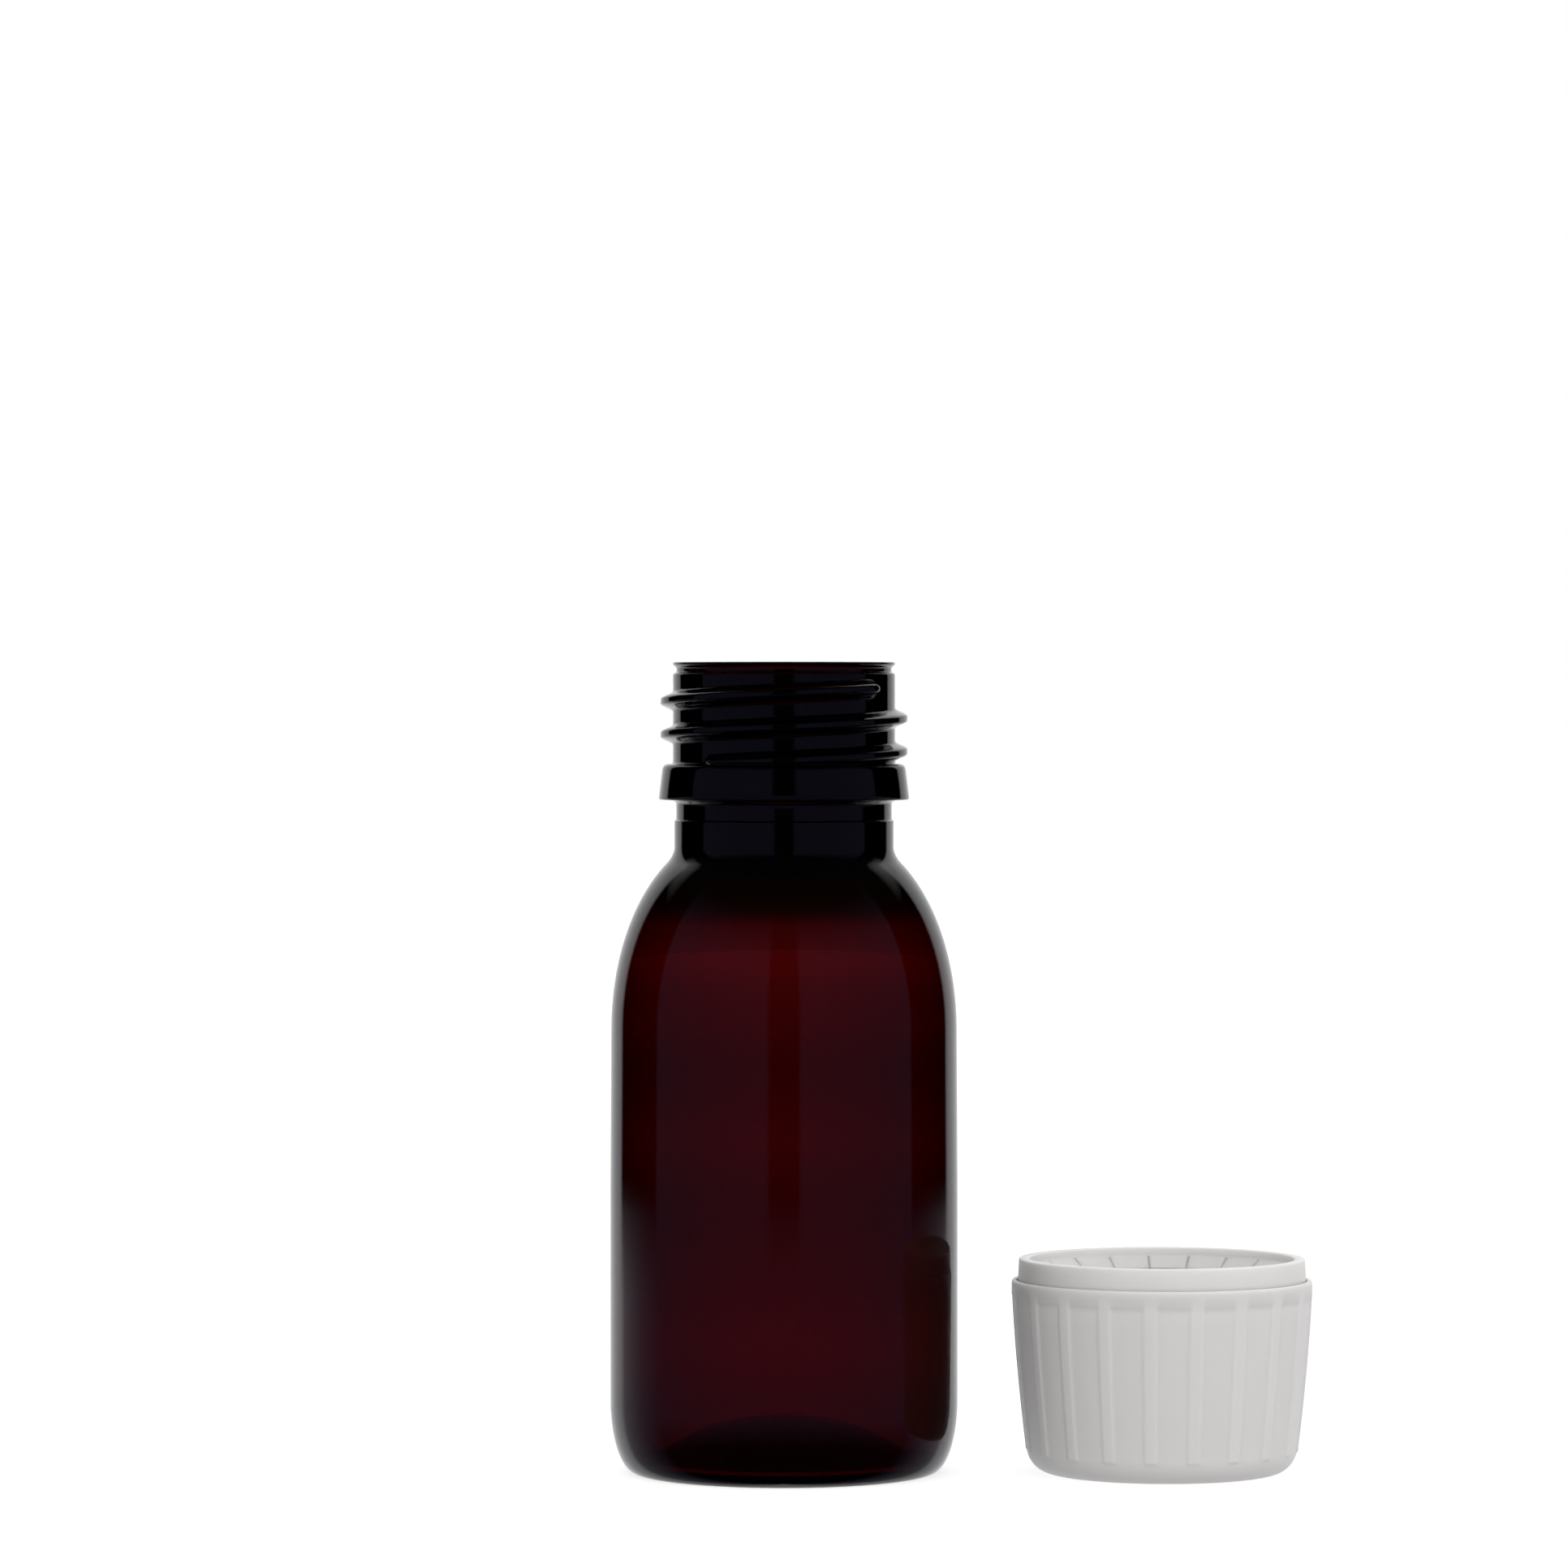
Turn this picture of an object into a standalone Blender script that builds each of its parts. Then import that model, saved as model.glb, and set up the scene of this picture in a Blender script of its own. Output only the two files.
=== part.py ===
"""Prescription vial: an amber screw-neck bottle with its push-and-turn closure beside it.

The bottle stands on its base. The closure stands crown down next to it, with its open end up.
Origin: on the ground, in the middle of the footprint of the two. X runs from the bottle
towards the closure, Z is up. All lengths are metres.
"""
from math import acos, asin, cos, degrees, pi, radians, sin

import bmesh
import bpy
from mathutils import Matrix, Vector

MM = 0.001

# ---- Bottle: overall sizes -----------------------------------------------------------------
BOTTLE_HEIGHT = 90.4 * MM
BODY_R = 19.4 * MM
SHOULDER_NARROWING = 0.1 * MM   # the body is a little narrower where the shoulder starts
BODY_WALL = 0.6 * MM
SHOULDER_DROP = 40.9 * MM       # from the lip down to where the shoulder starts to curve in
SHOULDER_RISE = 21.9 * MM       # height of the shoulder's quarter ellipse
SHOULDER_RUN = 13.3 * MM        # its width
SHOULDER_FILLET_RUN = 0.8 * MM  # hollow corner between the shoulder and the neck
SHOULDER_FILLET_RISE = 1.8 * MM
TAPER_DROP = 18.0 * MM          # length over which the body reaches its full radius

# ---- Bottle: heel and push-up --------------------------------------------------------------
HEEL_HEIGHT = 8.0 * MM
FOOT_OUTER_R = 16.0 * MM        # flat standing ring
FOOT_WIDTH = 0.9 * MM
PUSH_UP = 5.0 * MM
BASE_WALL = 0.9 * MM
DOME_FULLNESS = 0.62            # where along its radius the push-up's dome turns down
INNER_HEEL_DEG = -80.0          # the inner heel starts just off the floor's edge

# ---- Bottle: neck finish, heights measured down from the lip -------------------------------
NECK_R = 12.4 * MM              # wall between the threads
NECK_WALL = 1.5 * MM
LIP_FLANGE = 0.4 * MM
LIP_GROOVE = 0.9 * MM
LIP_GROOVE_DEPTH = 0.4 * MM
THREAD_HEIGHT = 1.4 * MM
THREAD_PITCH = 3.7 * MM
THREAD_BASE = 2.1 * MM
THREAD_CREST = 0.8 * MM
THREAD_DROP = 2.9 * MM          # centre of the thread's start
THREAD_TURNS = 2.24
THREAD_START_DEG = 319.0        # where the thread starts at the top, seen from above
BEAD_DROP = 11.3 * MM           # top of the tamper bead
BEAD_HEIGHT = 4.0 * MM
BEAD_STEP = 1.57 * MM           # how far the bead stands out of the neck
BEAD_TAPER = 0.47 * MM          # the bead is this much narrower at its top
BEAD_EDGE = 0.7 * MM
BEAD_TOP_EDGE_RUN = 0.1 * MM
BEAD_LOW_EDGE = 0.2 * MM
UNDERCUT = 0.37 * MM            # the neck is narrower right under the bead
UNDERCUT_HEIGHT = 2.35 * MM
UNDERCUT_FILLET = 0.4 * MM
LOWER_NECK_STEP = 0.15 * MM     # and a little narrower down to the shoulder

# ---- Closure: the fit on the bottle's finish -----------------------------------------------
FIT_GAP = 0.3 * MM              # between pieces that rest on each other or slide
EDGE = 0.15 * MM                # small broken edge on moulded pieces
THREAD_CLEARANCE = 0.15 * MM    # bottle thread crest to the cap's thread root
LINER_CLEARANCE = 0.27 * MM     # liner edge beyond the lip
BEAD_CLEARANCE = 0.2 * MM
CAP_THREAD_BASE = 1.6 * MM
CAP_THREAD_CREST = 0.7 * MM
CAP_THREAD_TURNS = 2.0
CAP_THREAD_GAP = 0.4 * MM       # cap thread crest to the bottle's neck
CAP_THREAD_DROP = 1.9 * MM      # start of the cap's thread below the skirt's edge
CAP_THREAD_START_DEG = 120.0
SKIRT_PAST_BEAD = 0.75 * MM     # the skirt reaches this far past the bead's top
THREAD_RELIEF = 1.3 * MM        # plain wall beside the lip before the thread starts
CAP_STEP = 0.6 * MM             # height of the cone from the recess out to the thread root
RIDGE_PER_TURN = 30             # sections in one turn of a thread ridge
RIDGE_FADE = 3                  # sections over which a ridge's end fades out
RIDGE_TIP_HEIGHT = 0.15         # share of the height and width left at its very end
RIDGE_TIP_WIDTH = 0.5

# ---- Closure: walls ------------------------------------------------------------------------
LINER_THICKNESS = 1.1 * MM
LINER_BEAD = 0.55 * MM          # height of the bead that keeps the liner in
LINER_BEAD_STEP = 0.35 * MM
CAP_CROWN = 1.4 * MM
CAP_RECESS_WALL = 0.75 * MM
CAP_SKIRT_WALL = 0.55 * MM
CAP_COLLAR = 0.55 * MM          # height of the ring that snaps behind the shell's bead
CAP_COLLAR_STEP = 0.65 * MM     # how far it stands out of the skirt
SHELL_CROWN = 1.4 * MM
SHELL_WALL = 0.7 * MM
SHELL_LIP_WALL = 0.4 * MM
SHELL_BULGE = 0.3 * MM
SHELL_SIDE_GAP = 0.5 * MM       # shell to inner cap at the crown end
RIB_HEIGHT = 0.3 * MM
RIB_WIDTH = 1.7 * MM
RIB_COUNT = 20
RIB_PHASE_DEG = -97.5           # one rib stands just left of the front
CROWN_CORNER_RUN = 2.8 * MM
CROWN_CORNER_RISE = 3.0 * MM
CROWN_CORNER_DEG = -12.0        # the corner's curve starts where the side's last row ends
RIB_END_Z = 2.3 * MM
SNAP_BEAD = 0.3 * MM            # slope of the shell's bead that holds the cap in
RIB_SKIN = 0.02 * MM             # ribs start this much below the smooth collar

# ---- Closure: push-and-turn clutch ---------------------------------------------------------
PUSH_TRAVEL = 1.0 * MM
LUG_BOTTOM_GAP = 0.2 * MM       # left between lug tips and crown when pushed home
LUG_COUNT = 12
LUG_INNER_R = 9.6 * MM
LUG_LENGTH = 2.7 * MM
LUG_WIDTH = 1.9 * MM
SPRING_OUTER_R = 8.6 * MM
SPRING_INNER_R = 5.0 * MM
SPRING_THICKNESS = 0.5 * MM
TONGUE_COUNT = 6
TONGUE_WIDTH = 1.6 * MM
TONGUE_THICKNESS = 0.45 * MM
TONGUE_RUN = 4.1 * MM           # how far a tongue reaches along the disc

# ---- Closure: tamper band ------------------------------------------------------------------
BRIDGE_SPAN = 0.85 * MM         # from the cap's skirt to the band
BRIDGE_COUNT = 10
BRIDGE_WIDTH = 0.7 * MM
BAND_NECK_WALL = 0.6 * MM
BAND_RIM_WALL = 1.3 * MM
BAND_MOUTH_STEP = 0.6 * MM      # the rim's bore beyond the neck's bore, over a cone as high
BAND_SHOW = 2.4 * MM            # height of the rim that stands out of the shell
BAND_SEATED = 0.3 * MM          # and how deep it sits inside the shell's mouth
FLAP_COUNT = 20
FLAP_REACH = 1.7 * MM
FLAP_RISE = 1.2 * MM
FLAP_THICKNESS = 0.45 * MM
FLAP_SLOT = 0.5 * MM
FLAP_ROOT_DEPTH = 1.0 * MM      # below the band's free edge
FLAP_CATCH_GAP = 0.1 * MM       # flap tips to the underside of the bottle's bead
FLAP_PHASE_DEG = 3.0
BRIDGE_PHASE_DEG = 7.0
BRIDGE_INSET = 0.1 * MM
BAND_EDGE = 0.4 * MM

# ---- Layout --------------------------------------------------------------------------------
AXIS_DISTANCE = 42.2 * MM       # bottle axis to closure axis
SEGMENTS = 48
ARC_STEPS = 5
SINK = 0.25 * MM                # how far a joined shape reaches into its wall

# ---- Derived sizes -------------------------------------------------------------------------
SHOULDER_R = BODY_R - SHOULDER_NARROWING
BORE_R = NECK_R - NECK_WALL
BEAD_R = NECK_R + BEAD_STEP
UNDERCUT_R = NECK_R - UNDERCUT
LOWER_NECK_R = NECK_R - LOWER_NECK_STEP
THREAD_CREST_R = NECK_R + THREAD_HEIGHT
LUG_HEIGHT = PUSH_TRAVEL - FIT_GAP + LUG_BOTTOM_GAP
LINER_R = NECK_R + LINER_CLEARANCE
RECESS_R = LINER_R + FIT_GAP
CAP_CROWN_R = RECESS_R + CAP_RECESS_WALL
THREAD_ROOT_R = THREAD_CREST_R + THREAD_CLEARANCE
CAP_SKIRT_R = THREAD_ROOT_R + CAP_SKIRT_WALL
CAP_MOUTH_R = BEAD_R + BEAD_CLEARANCE
CAP_COLLAR_R = CAP_MOUTH_R + CAP_SKIRT_WALL + CAP_COLLAR_STEP

CAP_CROWN_Z = SHELL_CROWN + 2 * LUG_HEIGHT + FIT_GAP
CAP_FLOOR_Z = CAP_CROWN_Z + CAP_CROWN
LINER_Z = CAP_FLOOR_Z + FIT_GAP
SEAL_Z = LINER_Z + LINER_THICKNESS
SKIRT_END_Z = SEAL_Z + BEAD_DROP + SKIRT_PAST_BEAD
BAND_Z = SKIRT_END_Z + BRIDGE_SPAN
FLAP_TIP_Z = SEAL_Z + BEAD_DROP + BEAD_HEIGHT + FLAP_CATCH_GAP
FLAP_ROOT_Z = FLAP_TIP_Z + FLAP_RISE
BAND_END_Z = FLAP_ROOT_Z + FLAP_ROOT_DEPTH
MOUTH_Z = BAND_END_Z - BAND_SHOW
FLANGE_Z = MOUTH_Z - BAND_SEATED
LEDGE_Z = FLANGE_Z - PUSH_TRAVEL - LUG_BOTTOM_GAP
COLLAR_Z = LEDGE_Z - EDGE       # the ribs end here, below a smooth collar
CAP_STEP_Z = SEAL_Z + THREAD_RELIEF

BAND_NECK_BORE = CAP_MOUTH_R
BAND_NECK_R = BAND_NECK_BORE + BAND_NECK_WALL
BAND_BORE = BAND_NECK_BORE + BAND_MOUTH_STEP
BAND_R = BAND_BORE + BAND_RIM_WALL
MOUTH_BORE = BAND_R + FIT_GAP
SHELL_MOUTH_R = MOUTH_BORE + SHELL_LIP_WALL
SNAP_R = BAND_NECK_R + FIT_GAP
SHELL_BASE_R = CAP_CROWN_R + SHELL_SIDE_GAP + SHELL_WALL + RIB_HEIGHT

BOTTLE_X = -(AXIS_DISTANCE + SHELL_MOUTH_R - BODY_R) / 2
CLOSURE_X = BOTTLE_X + AXIS_DISTANCE


# ---- Scene and helpers ---------------------------------------------------------------------
for old in list(bpy.data.objects):
    bpy.data.objects.remove(old, do_unlink=True)

parts = bpy.data.collections.new("prescription_vial")
cutters = bpy.data.collections.new("cutters")
for group in (parts, cutters):
    bpy.context.scene.collection.children.link(group)


def material(name, colour, roughness, transmission=0.0):
    """A Principled material."""
    made = bpy.data.materials.new(name)
    made.use_nodes = True
    shader = made.node_tree.nodes["Principled BSDF"]
    shader.inputs["Base Color"].default_value = (*colour, 1.0)
    shader.inputs["Roughness"].default_value = roughness
    shader.inputs["Metallic"].default_value = 0.0
    shader.inputs["Transmission Weight"].default_value = transmission
    return made


def arc(centre, radii, start_deg, end_deg, steps=ARC_STEPS):
    """Points along a stretch of an ellipse in the (radius, height) plane."""
    angles = [radians(start_deg + (end_deg - start_deg) * i / steps) for i in range(steps + 1)]
    return [(centre[0] + radii[0] * cos(a), centre[1] + radii[1] * sin(a)) for a in angles]


def sweep(start, middle, end, steps):
    """Points along a quadratic curve that leaves start towards middle and ends at end."""
    points = []
    for i in range(steps + 1):
        t = i / steps
        weights = ((1 - t) ** 2, 2 * t * (1 - t), t ** 2)
        points.append(tuple(sum(w * p[k] for w, p in zip(weights, (start, middle, end)))
                            for k in (0, 1)))
    return points


def new_object(name, mesh, x, group=parts, finish=None):
    """Link a mesh as an object that stands on the vertical axis at x."""
    made = bpy.data.objects.new(name, mesh)
    made.location = (x, 0.0, 0.0)
    group.objects.link(made)
    if finish:
        mesh.materials.append(finish)
    if group is cutters:
        made.hide_render = True
        made.display_type = "WIRE"
    return made


def turned(name, outline, x, group=parts, finish=None, loop=False):
    """Turn an outline of (radius, height) points, up the inside and down the outside."""
    mesh = bpy.data.meshes.new(name)
    count = len(outline)
    edges = [(i, i + 1) for i in range(count - 1)]
    if loop:
        edges.append((count - 1, 0))
    mesh.from_pydata([(r, 0.0, z) for r, z in outline], edges, [])
    made = new_object(name, mesh, x, group, finish)
    screw = made.modifiers.new("Turn", "SCREW")
    screw.axis = "Z"
    screw.angle = 2 * pi
    screw.steps = SEGMENTS
    screw.render_steps = SEGMENTS
    screw.use_merge_vertices = True
    screw.merge_threshold = 0.00001
    screw.use_smooth_shade = True
    return made


def ring_of_blocks(name, count, size, centre, x, phase_deg=0.0, tilt_deg=0.0):
    """Blocks set around an axis: size and centre are (radial, tangential, height)."""
    cells = bmesh.new()
    for i in range(count):
        place = (Matrix.Rotation(radians(phase_deg + 360.0 * i / count), 4, "Z")
                 @ Matrix.Translation(Vector(centre))
                 @ Matrix.Rotation(radians(tilt_deg), 4, "X")
                 @ Matrix.Diagonal((*size, 1.0)))
        bmesh.ops.create_cube(cells, size=1.0, matrix=place)
    mesh = bpy.data.meshes.new(name)
    cells.to_mesh(mesh)
    cells.free()
    return new_object(name, mesh, x, cutters)


def faded(least, share):
    """A size that grows from its least share to the whole as share goes from 0 to 1."""
    return least + (1.0 - least) * share


def helical_ridge(name, sunk_r, crest_r, base, crest, pitch, turns, top_z, start_deg, x):
    """A right-hand thread ridge that runs down from top_z, with both ends faded out.

    The section changes along the ends, so the ridge is a loft of four-cornered sections.
    """
    steps = round(turns * RIDGE_PER_TURN)
    mesh = bmesh.new()
    rings = []
    for i in range(steps + 1):
        share = min(1.0, min(i, steps - i) / RIDGE_FADE)
        angle = radians(start_deg) - 2 * pi * turns * i / steps
        z = top_z - pitch * turns * i / steps
        tip_r = sunk_r + (crest_r - sunk_r) * faded(RIDGE_TIP_HEIGHT, share)
        halves = [width / 2 * faded(RIDGE_TIP_WIDTH, share) for width in (base, crest)]
        corners = ((sunk_r, z + halves[0]), (tip_r, z + halves[1]),
                   (tip_r, z - halves[1]), (sunk_r, z - halves[0]))
        rings.append([mesh.verts.new((r * cos(angle), r * sin(angle), h)) for r, h in corners])
    for first, second in zip(rings, rings[1:]):
        for k in range(4):
            j = (k + 1) % 4
            mesh.faces.new((first[k], first[j], second[j], second[k]))
    mesh.faces.new(rings[0])
    mesh.faces.new(rings[-1])
    bmesh.ops.recalc_face_normals(mesh, faces=mesh.faces)
    data = bpy.data.meshes.new(name)
    mesh.to_mesh(data)
    mesh.free()
    return new_object(name, data, x, cutters)


def combine(target, tool, operation):
    """Add an exact Boolean of the tool to the target."""
    step = target.modifiers.new(tool.name, "BOOLEAN")
    step.operation = operation
    step.object = tool
    step.solver = "EXACT"


# ---- Bottle --------------------------------------------------------------------------------
def meeting_angle(centre_r, run, r):
    """Angle on the shoulder's ellipse where it has reached the radius r."""
    return degrees(acos((r - centre_r) / run))


SHOULDER_Z = BOTTLE_HEIGHT - SHOULDER_DROP
SHOULDER_CENTRE_R = SHOULDER_R - SHOULDER_RUN
VALLEY_R = FOOT_OUTER_R - FOOT_WIDTH / 2      # middle of the standing ring


def bottle_outside():
    """Outer outline of the bottle, from the lip down to the middle of the push-up."""
    lip = BOTTLE_HEIGHT
    groove_r = NECK_R - LIP_GROOVE_DEPTH
    groove_top = lip - LIP_FLANGE
    groove_end = groove_top - LIP_GROOVE
    bead_top = lip - BEAD_DROP
    bead_end = bead_top - BEAD_HEIGHT
    bead_top_r = BEAD_R - BEAD_TAPER
    step_z = bead_end - UNDERCUT_HEIGHT
    start = meeting_angle(SHOULDER_CENTRE_R, SHOULDER_RUN, LOWER_NECK_R + SHOULDER_FILLET_RUN)
    shoulder = arc((SHOULDER_CENTRE_R, SHOULDER_Z), (SHOULDER_RUN, SHOULDER_RISE), start, 0.0, 8)
    neck_end = shoulder[0][1] + SHOULDER_FILLET_RISE
    finish = [
        (NECK_R, lip), (NECK_R, groove_top + LIP_FLANGE / 3),
        (groove_r, groove_top - LIP_GROOVE / 4), (groove_r, groove_end + LIP_GROOVE / 4),
        (NECK_R, groove_end), (NECK_R, bead_top),
    ]
    bead = sweep((bead_top_r - BEAD_EDGE, bead_top), (bead_top_r, bead_top),
                 (bead_top_r + BEAD_TOP_EDGE_RUN, bead_top - BEAD_EDGE), 3)
    under = [(BEAD_R, bead_end + BEAD_LOW_EDGE), (BEAD_R - BEAD_LOW_EDGE / 2, bead_end),
             (UNDERCUT_R + UNDERCUT_FILLET, bead_end - UNDERCUT_FILLET / 4),
             (UNDERCUT_R, bead_end - UNDERCUT_FILLET),
             (UNDERCUT_R, step_z + UNDERCUT_FILLET / 8), (LOWER_NECK_R, step_z)]
    fillet = sweep((LOWER_NECK_R, neck_end),
                   (LOWER_NECK_R, neck_end - SHOULDER_FILLET_RISE / 2), shoulder[0], 3)
    heel = arc((FOOT_OUTER_R, HEEL_HEIGHT), (BODY_R - FOOT_OUTER_R, HEEL_HEIGHT), 0.0, -90.0)
    foot_r = FOOT_OUTER_R - FOOT_WIDTH
    dome = sweep((foot_r, 0.0), (foot_r * DOME_FULLNESS, PUSH_UP), (0.0, PUSH_UP), 4)
    body = [(BODY_R, SHOULDER_Z - TAPER_DROP)]
    return finish + bead + under + fillet[:-1] + shoulder + body + heel + dome


def bottle_inside():
    """Inner outline of the bottle, from the middle of its floor up to the lip."""
    floor_z = PUSH_UP + BASE_WALL
    inner_r = BODY_R - BODY_WALL
    run = SHOULDER_RUN - BODY_WALL
    rise = SHOULDER_RISE - BODY_WALL
    floor = sweep((0.0, floor_z), (VALLEY_R * DOME_FULLNESS, floor_z),
                  (VALLEY_R - BASE_WALL, BASE_WALL), 4)
    heel = arc((VALLEY_R, HEEL_HEIGHT), (inner_r - VALLEY_R, HEEL_HEIGHT - BASE_WALL),
               INNER_HEEL_DEG, 0.0, 4)
    end = meeting_angle(SHOULDER_CENTRE_R, run, BORE_R + BODY_WALL)
    shoulder = arc((SHOULDER_CENTRE_R, SHOULDER_Z), (run, rise), 0.0, end)
    bore = [(BORE_R, shoulder[-1][1] + SHOULDER_FILLET_RISE), (BORE_R, BOTTLE_HEIGHT)]
    return floor + heel + [(inner_r, SHOULDER_Z - TAPER_DROP)] + shoulder + bore


amber = material("amber_bottle", (0.16, 0.022, 0.02), 0.05, 0.9)
bottle = turned("bottle", bottle_inside() + bottle_outside(), BOTTLE_X, finish=amber)
bottle_thread = helical_ridge(
    "bottle_thread", NECK_R - SINK, THREAD_CREST_R, THREAD_BASE, THREAD_CREST, THREAD_PITCH,
    THREAD_TURNS, BOTTLE_HEIGHT - THREAD_DROP, THREAD_START_DEG, BOTTLE_X)
combine(bottle, bottle_thread, "UNION")


# ---- Outer shell ---------------------------------------------------------------------------
def shell_side(inset, low_z, high_z, steps):
    """The shell's slightly bulged cone between two heights, moved in by inset."""
    points = []
    for i in range(steps + 1):
        z = low_z + (high_z - low_z) * i / steps
        t = (z - CROWN_CORNER_RISE) / (COLLAR_Z - CROWN_CORNER_RISE)
        r = SHELL_BASE_R + (SHELL_MOUTH_R - SHELL_BASE_R) * t + 2 * SHELL_BULGE * t * (1 - t)
        points.append((r - inset, z))
    return points


wall_inset = RIB_HEIGHT + SHELL_WALL
corner_r = SHELL_BASE_R - RIB_HEIGHT
flat_r = corner_r - CROWN_CORNER_RUN
snap_low = SKIRT_END_Z + LUG_BOTTOM_GAP
shell_inside = (
    [(0.0, SHELL_CROWN)]
    + sweep((flat_r, SHELL_CROWN), (corner_r - SHELL_WALL, SHELL_CROWN),
            (corner_r - SHELL_WALL, CROWN_CORNER_RISE), 4)
    + shell_side(wall_inset, CROWN_CORNER_RISE, snap_low, 4)[1:]
    + [(SNAP_R, snap_low + SNAP_BEAD), (SNAP_R, LEDGE_Z - EDGE),
       (MOUTH_BORE, LEDGE_Z), (MOUTH_BORE, MOUTH_Z)])
shell_outside = (
    [(SHELL_MOUTH_R - EDGE, MOUTH_Z), (SHELL_MOUTH_R, MOUTH_Z - 2 * EDGE),
     (SHELL_MOUTH_R, COLLAR_Z)]
    + shell_side(RIB_HEIGHT, COLLAR_Z - EDGE, CROWN_CORNER_RISE, 5)
    + arc((flat_r, CROWN_CORNER_RISE), (CROWN_CORNER_RUN, CROWN_CORNER_RISE),
          CROWN_CORNER_DEG, -90.0, 6)
    + [(0.0, 0.0)])
natural = material("natural_shell", (0.80, 0.79, 0.78), 0.35)
outer_shell = turned("outer_shell", shell_inside + shell_outside, CLOSURE_X, finish=natural)

rib_sleeve = turned(
    "rib_sleeve",
    shell_side(wall_inset - SINK, RIB_END_Z, COLLAR_Z + EDGE / 2, 5)
    + shell_side(RIB_SKIN, COLLAR_Z + EDGE / 2, RIB_END_Z, 5),
    CLOSURE_X, cutters, loop=True)
rib_span = SHELL_MOUTH_R - corner_r + 2 * CROWN_CORNER_RUN
rib_slabs = ring_of_blocks(
    "rib_slabs", RIB_COUNT, (rib_span, RIB_WIDTH, 2 * MOUTH_Z),
    ((corner_r + SHELL_MOUTH_R) / 2, 0.0, MOUTH_Z / 2), CLOSURE_X, RIB_PHASE_DEG)
combine(rib_sleeve, rib_slabs, "INTERSECT")
combine(outer_shell, rib_sleeve, "UNION")

lug_size = (LUG_LENGTH, LUG_WIDTH, LUG_HEIGHT + SINK)
lug_r = LUG_INNER_R + LUG_LENGTH / 2
shell_lugs = ring_of_blocks(
    "shell_lugs", LUG_COUNT, lug_size,
    (lug_r, 0.0, SHELL_CROWN + (LUG_HEIGHT - SINK) / 2), CLOSURE_X)
combine(outer_shell, shell_lugs, "UNION")


# ---- Inner cap -----------------------------------------------------------------------------
skirt_flare_z = SKIRT_END_Z - 2 * CAP_COLLAR
bead_low = SEAL_Z + EDGE
cap_inside = [
    (0.0, CAP_FLOOR_Z), (RECESS_R, CAP_FLOOR_Z), (RECESS_R, bead_low),
    (RECESS_R - LINER_BEAD_STEP, bead_low + LINER_BEAD / 2), (RECESS_R, bead_low + LINER_BEAD),
    (RECESS_R, CAP_STEP_Z), (THREAD_ROOT_R, CAP_STEP_Z + CAP_STEP),
    (THREAD_ROOT_R, skirt_flare_z), (CAP_MOUTH_R, skirt_flare_z + BEAD_CLEARANCE),
    (CAP_MOUTH_R, SKIRT_END_Z),
]
cap_outside = [
    (CAP_COLLAR_R - EDGE, SKIRT_END_Z), (CAP_COLLAR_R, SKIRT_END_Z - EDGE),
    (CAP_COLLAR_R, SKIRT_END_Z - CAP_COLLAR), (CAP_MOUTH_R + CAP_SKIRT_WALL, skirt_flare_z),
    (CAP_SKIRT_R, (SKIRT_END_Z + CAP_STEP_Z) / 2),
    (CAP_SKIRT_R - EDGE / 2, CAP_STEP_Z + CAP_STEP),
    (CAP_CROWN_R, CAP_STEP_Z), (CAP_CROWN_R, CAP_CROWN_Z + 2 * EDGE),
    (CAP_CROWN_R - 2 * EDGE, CAP_CROWN_Z), (0.0, CAP_CROWN_Z),
]
cap_white = material("cap_white", (0.86, 0.86, 0.85), 0.4)
inner_cap = turned("inner_cap", cap_inside + cap_outside, CLOSURE_X, finish=cap_white)
cap_thread = helical_ridge(
    "cap_thread", THREAD_ROOT_R + SINK, NECK_R + CAP_THREAD_GAP, CAP_THREAD_BASE,
    CAP_THREAD_CREST, THREAD_PITCH, CAP_THREAD_TURNS, SKIRT_END_Z - CAP_THREAD_DROP,
    CAP_THREAD_START_DEG, CLOSURE_X)
combine(inner_cap, cap_thread, "UNION")
cap_lugs = ring_of_blocks(
    "cap_lugs", LUG_COUNT, lug_size,
    (lug_r, 0.0, CAP_CROWN_Z - (LUG_HEIGHT - SINK) / 2), CLOSURE_X, 180.0 / LUG_COUNT)
combine(inner_cap, cap_lugs, "UNION")


# ---- Liner ---------------------------------------------------------------------------------
foam = material("liner_foam", (0.90, 0.90, 0.88), 0.8)
liner = turned("liner", [(0.0, SEAL_Z), (LINER_R, SEAL_Z), (LINER_R, LINER_Z), (0.0, LINER_Z)],
               CLOSURE_X, finish=foam)


# ---- Spring disc ---------------------------------------------------------------------------
hub_top = CAP_CROWN_Z - FIT_GAP
hub_low = hub_top - SPRING_THICKNESS
spring_white = material("spring_natural", (0.84, 0.84, 0.82), 0.4)
spring_disc = turned(
    "spring_disc",
    [(SPRING_INNER_R, hub_low), (SPRING_INNER_R, hub_top), (SPRING_OUTER_R, hub_top),
     (SPRING_OUTER_R, hub_low)], CLOSURE_X, finish=spring_white, loop=True)
tongue_low = SHELL_CROWN + FIT_GAP
tongue_tilt = asin((hub_low + TONGUE_THICKNESS / 2 - tongue_low - TONGUE_THICKNESS) / TONGUE_RUN)
tongue_length = TONGUE_RUN / cos(tongue_tilt)
tongue_rise = (tongue_length * sin(tongue_tilt) + TONGUE_THICKNESS * cos(tongue_tilt)) / 2
tongues = ring_of_blocks(
    "tongues", TONGUE_COUNT, (TONGUE_WIDTH, tongue_length, TONGUE_THICKNESS),
    ((SPRING_INNER_R + SPRING_OUTER_R) / 2, 0.0, tongue_low + tongue_rise), CLOSURE_X,
    tilt_deg=degrees(tongue_tilt))
combine(spring_disc, tongues, "UNION")


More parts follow.
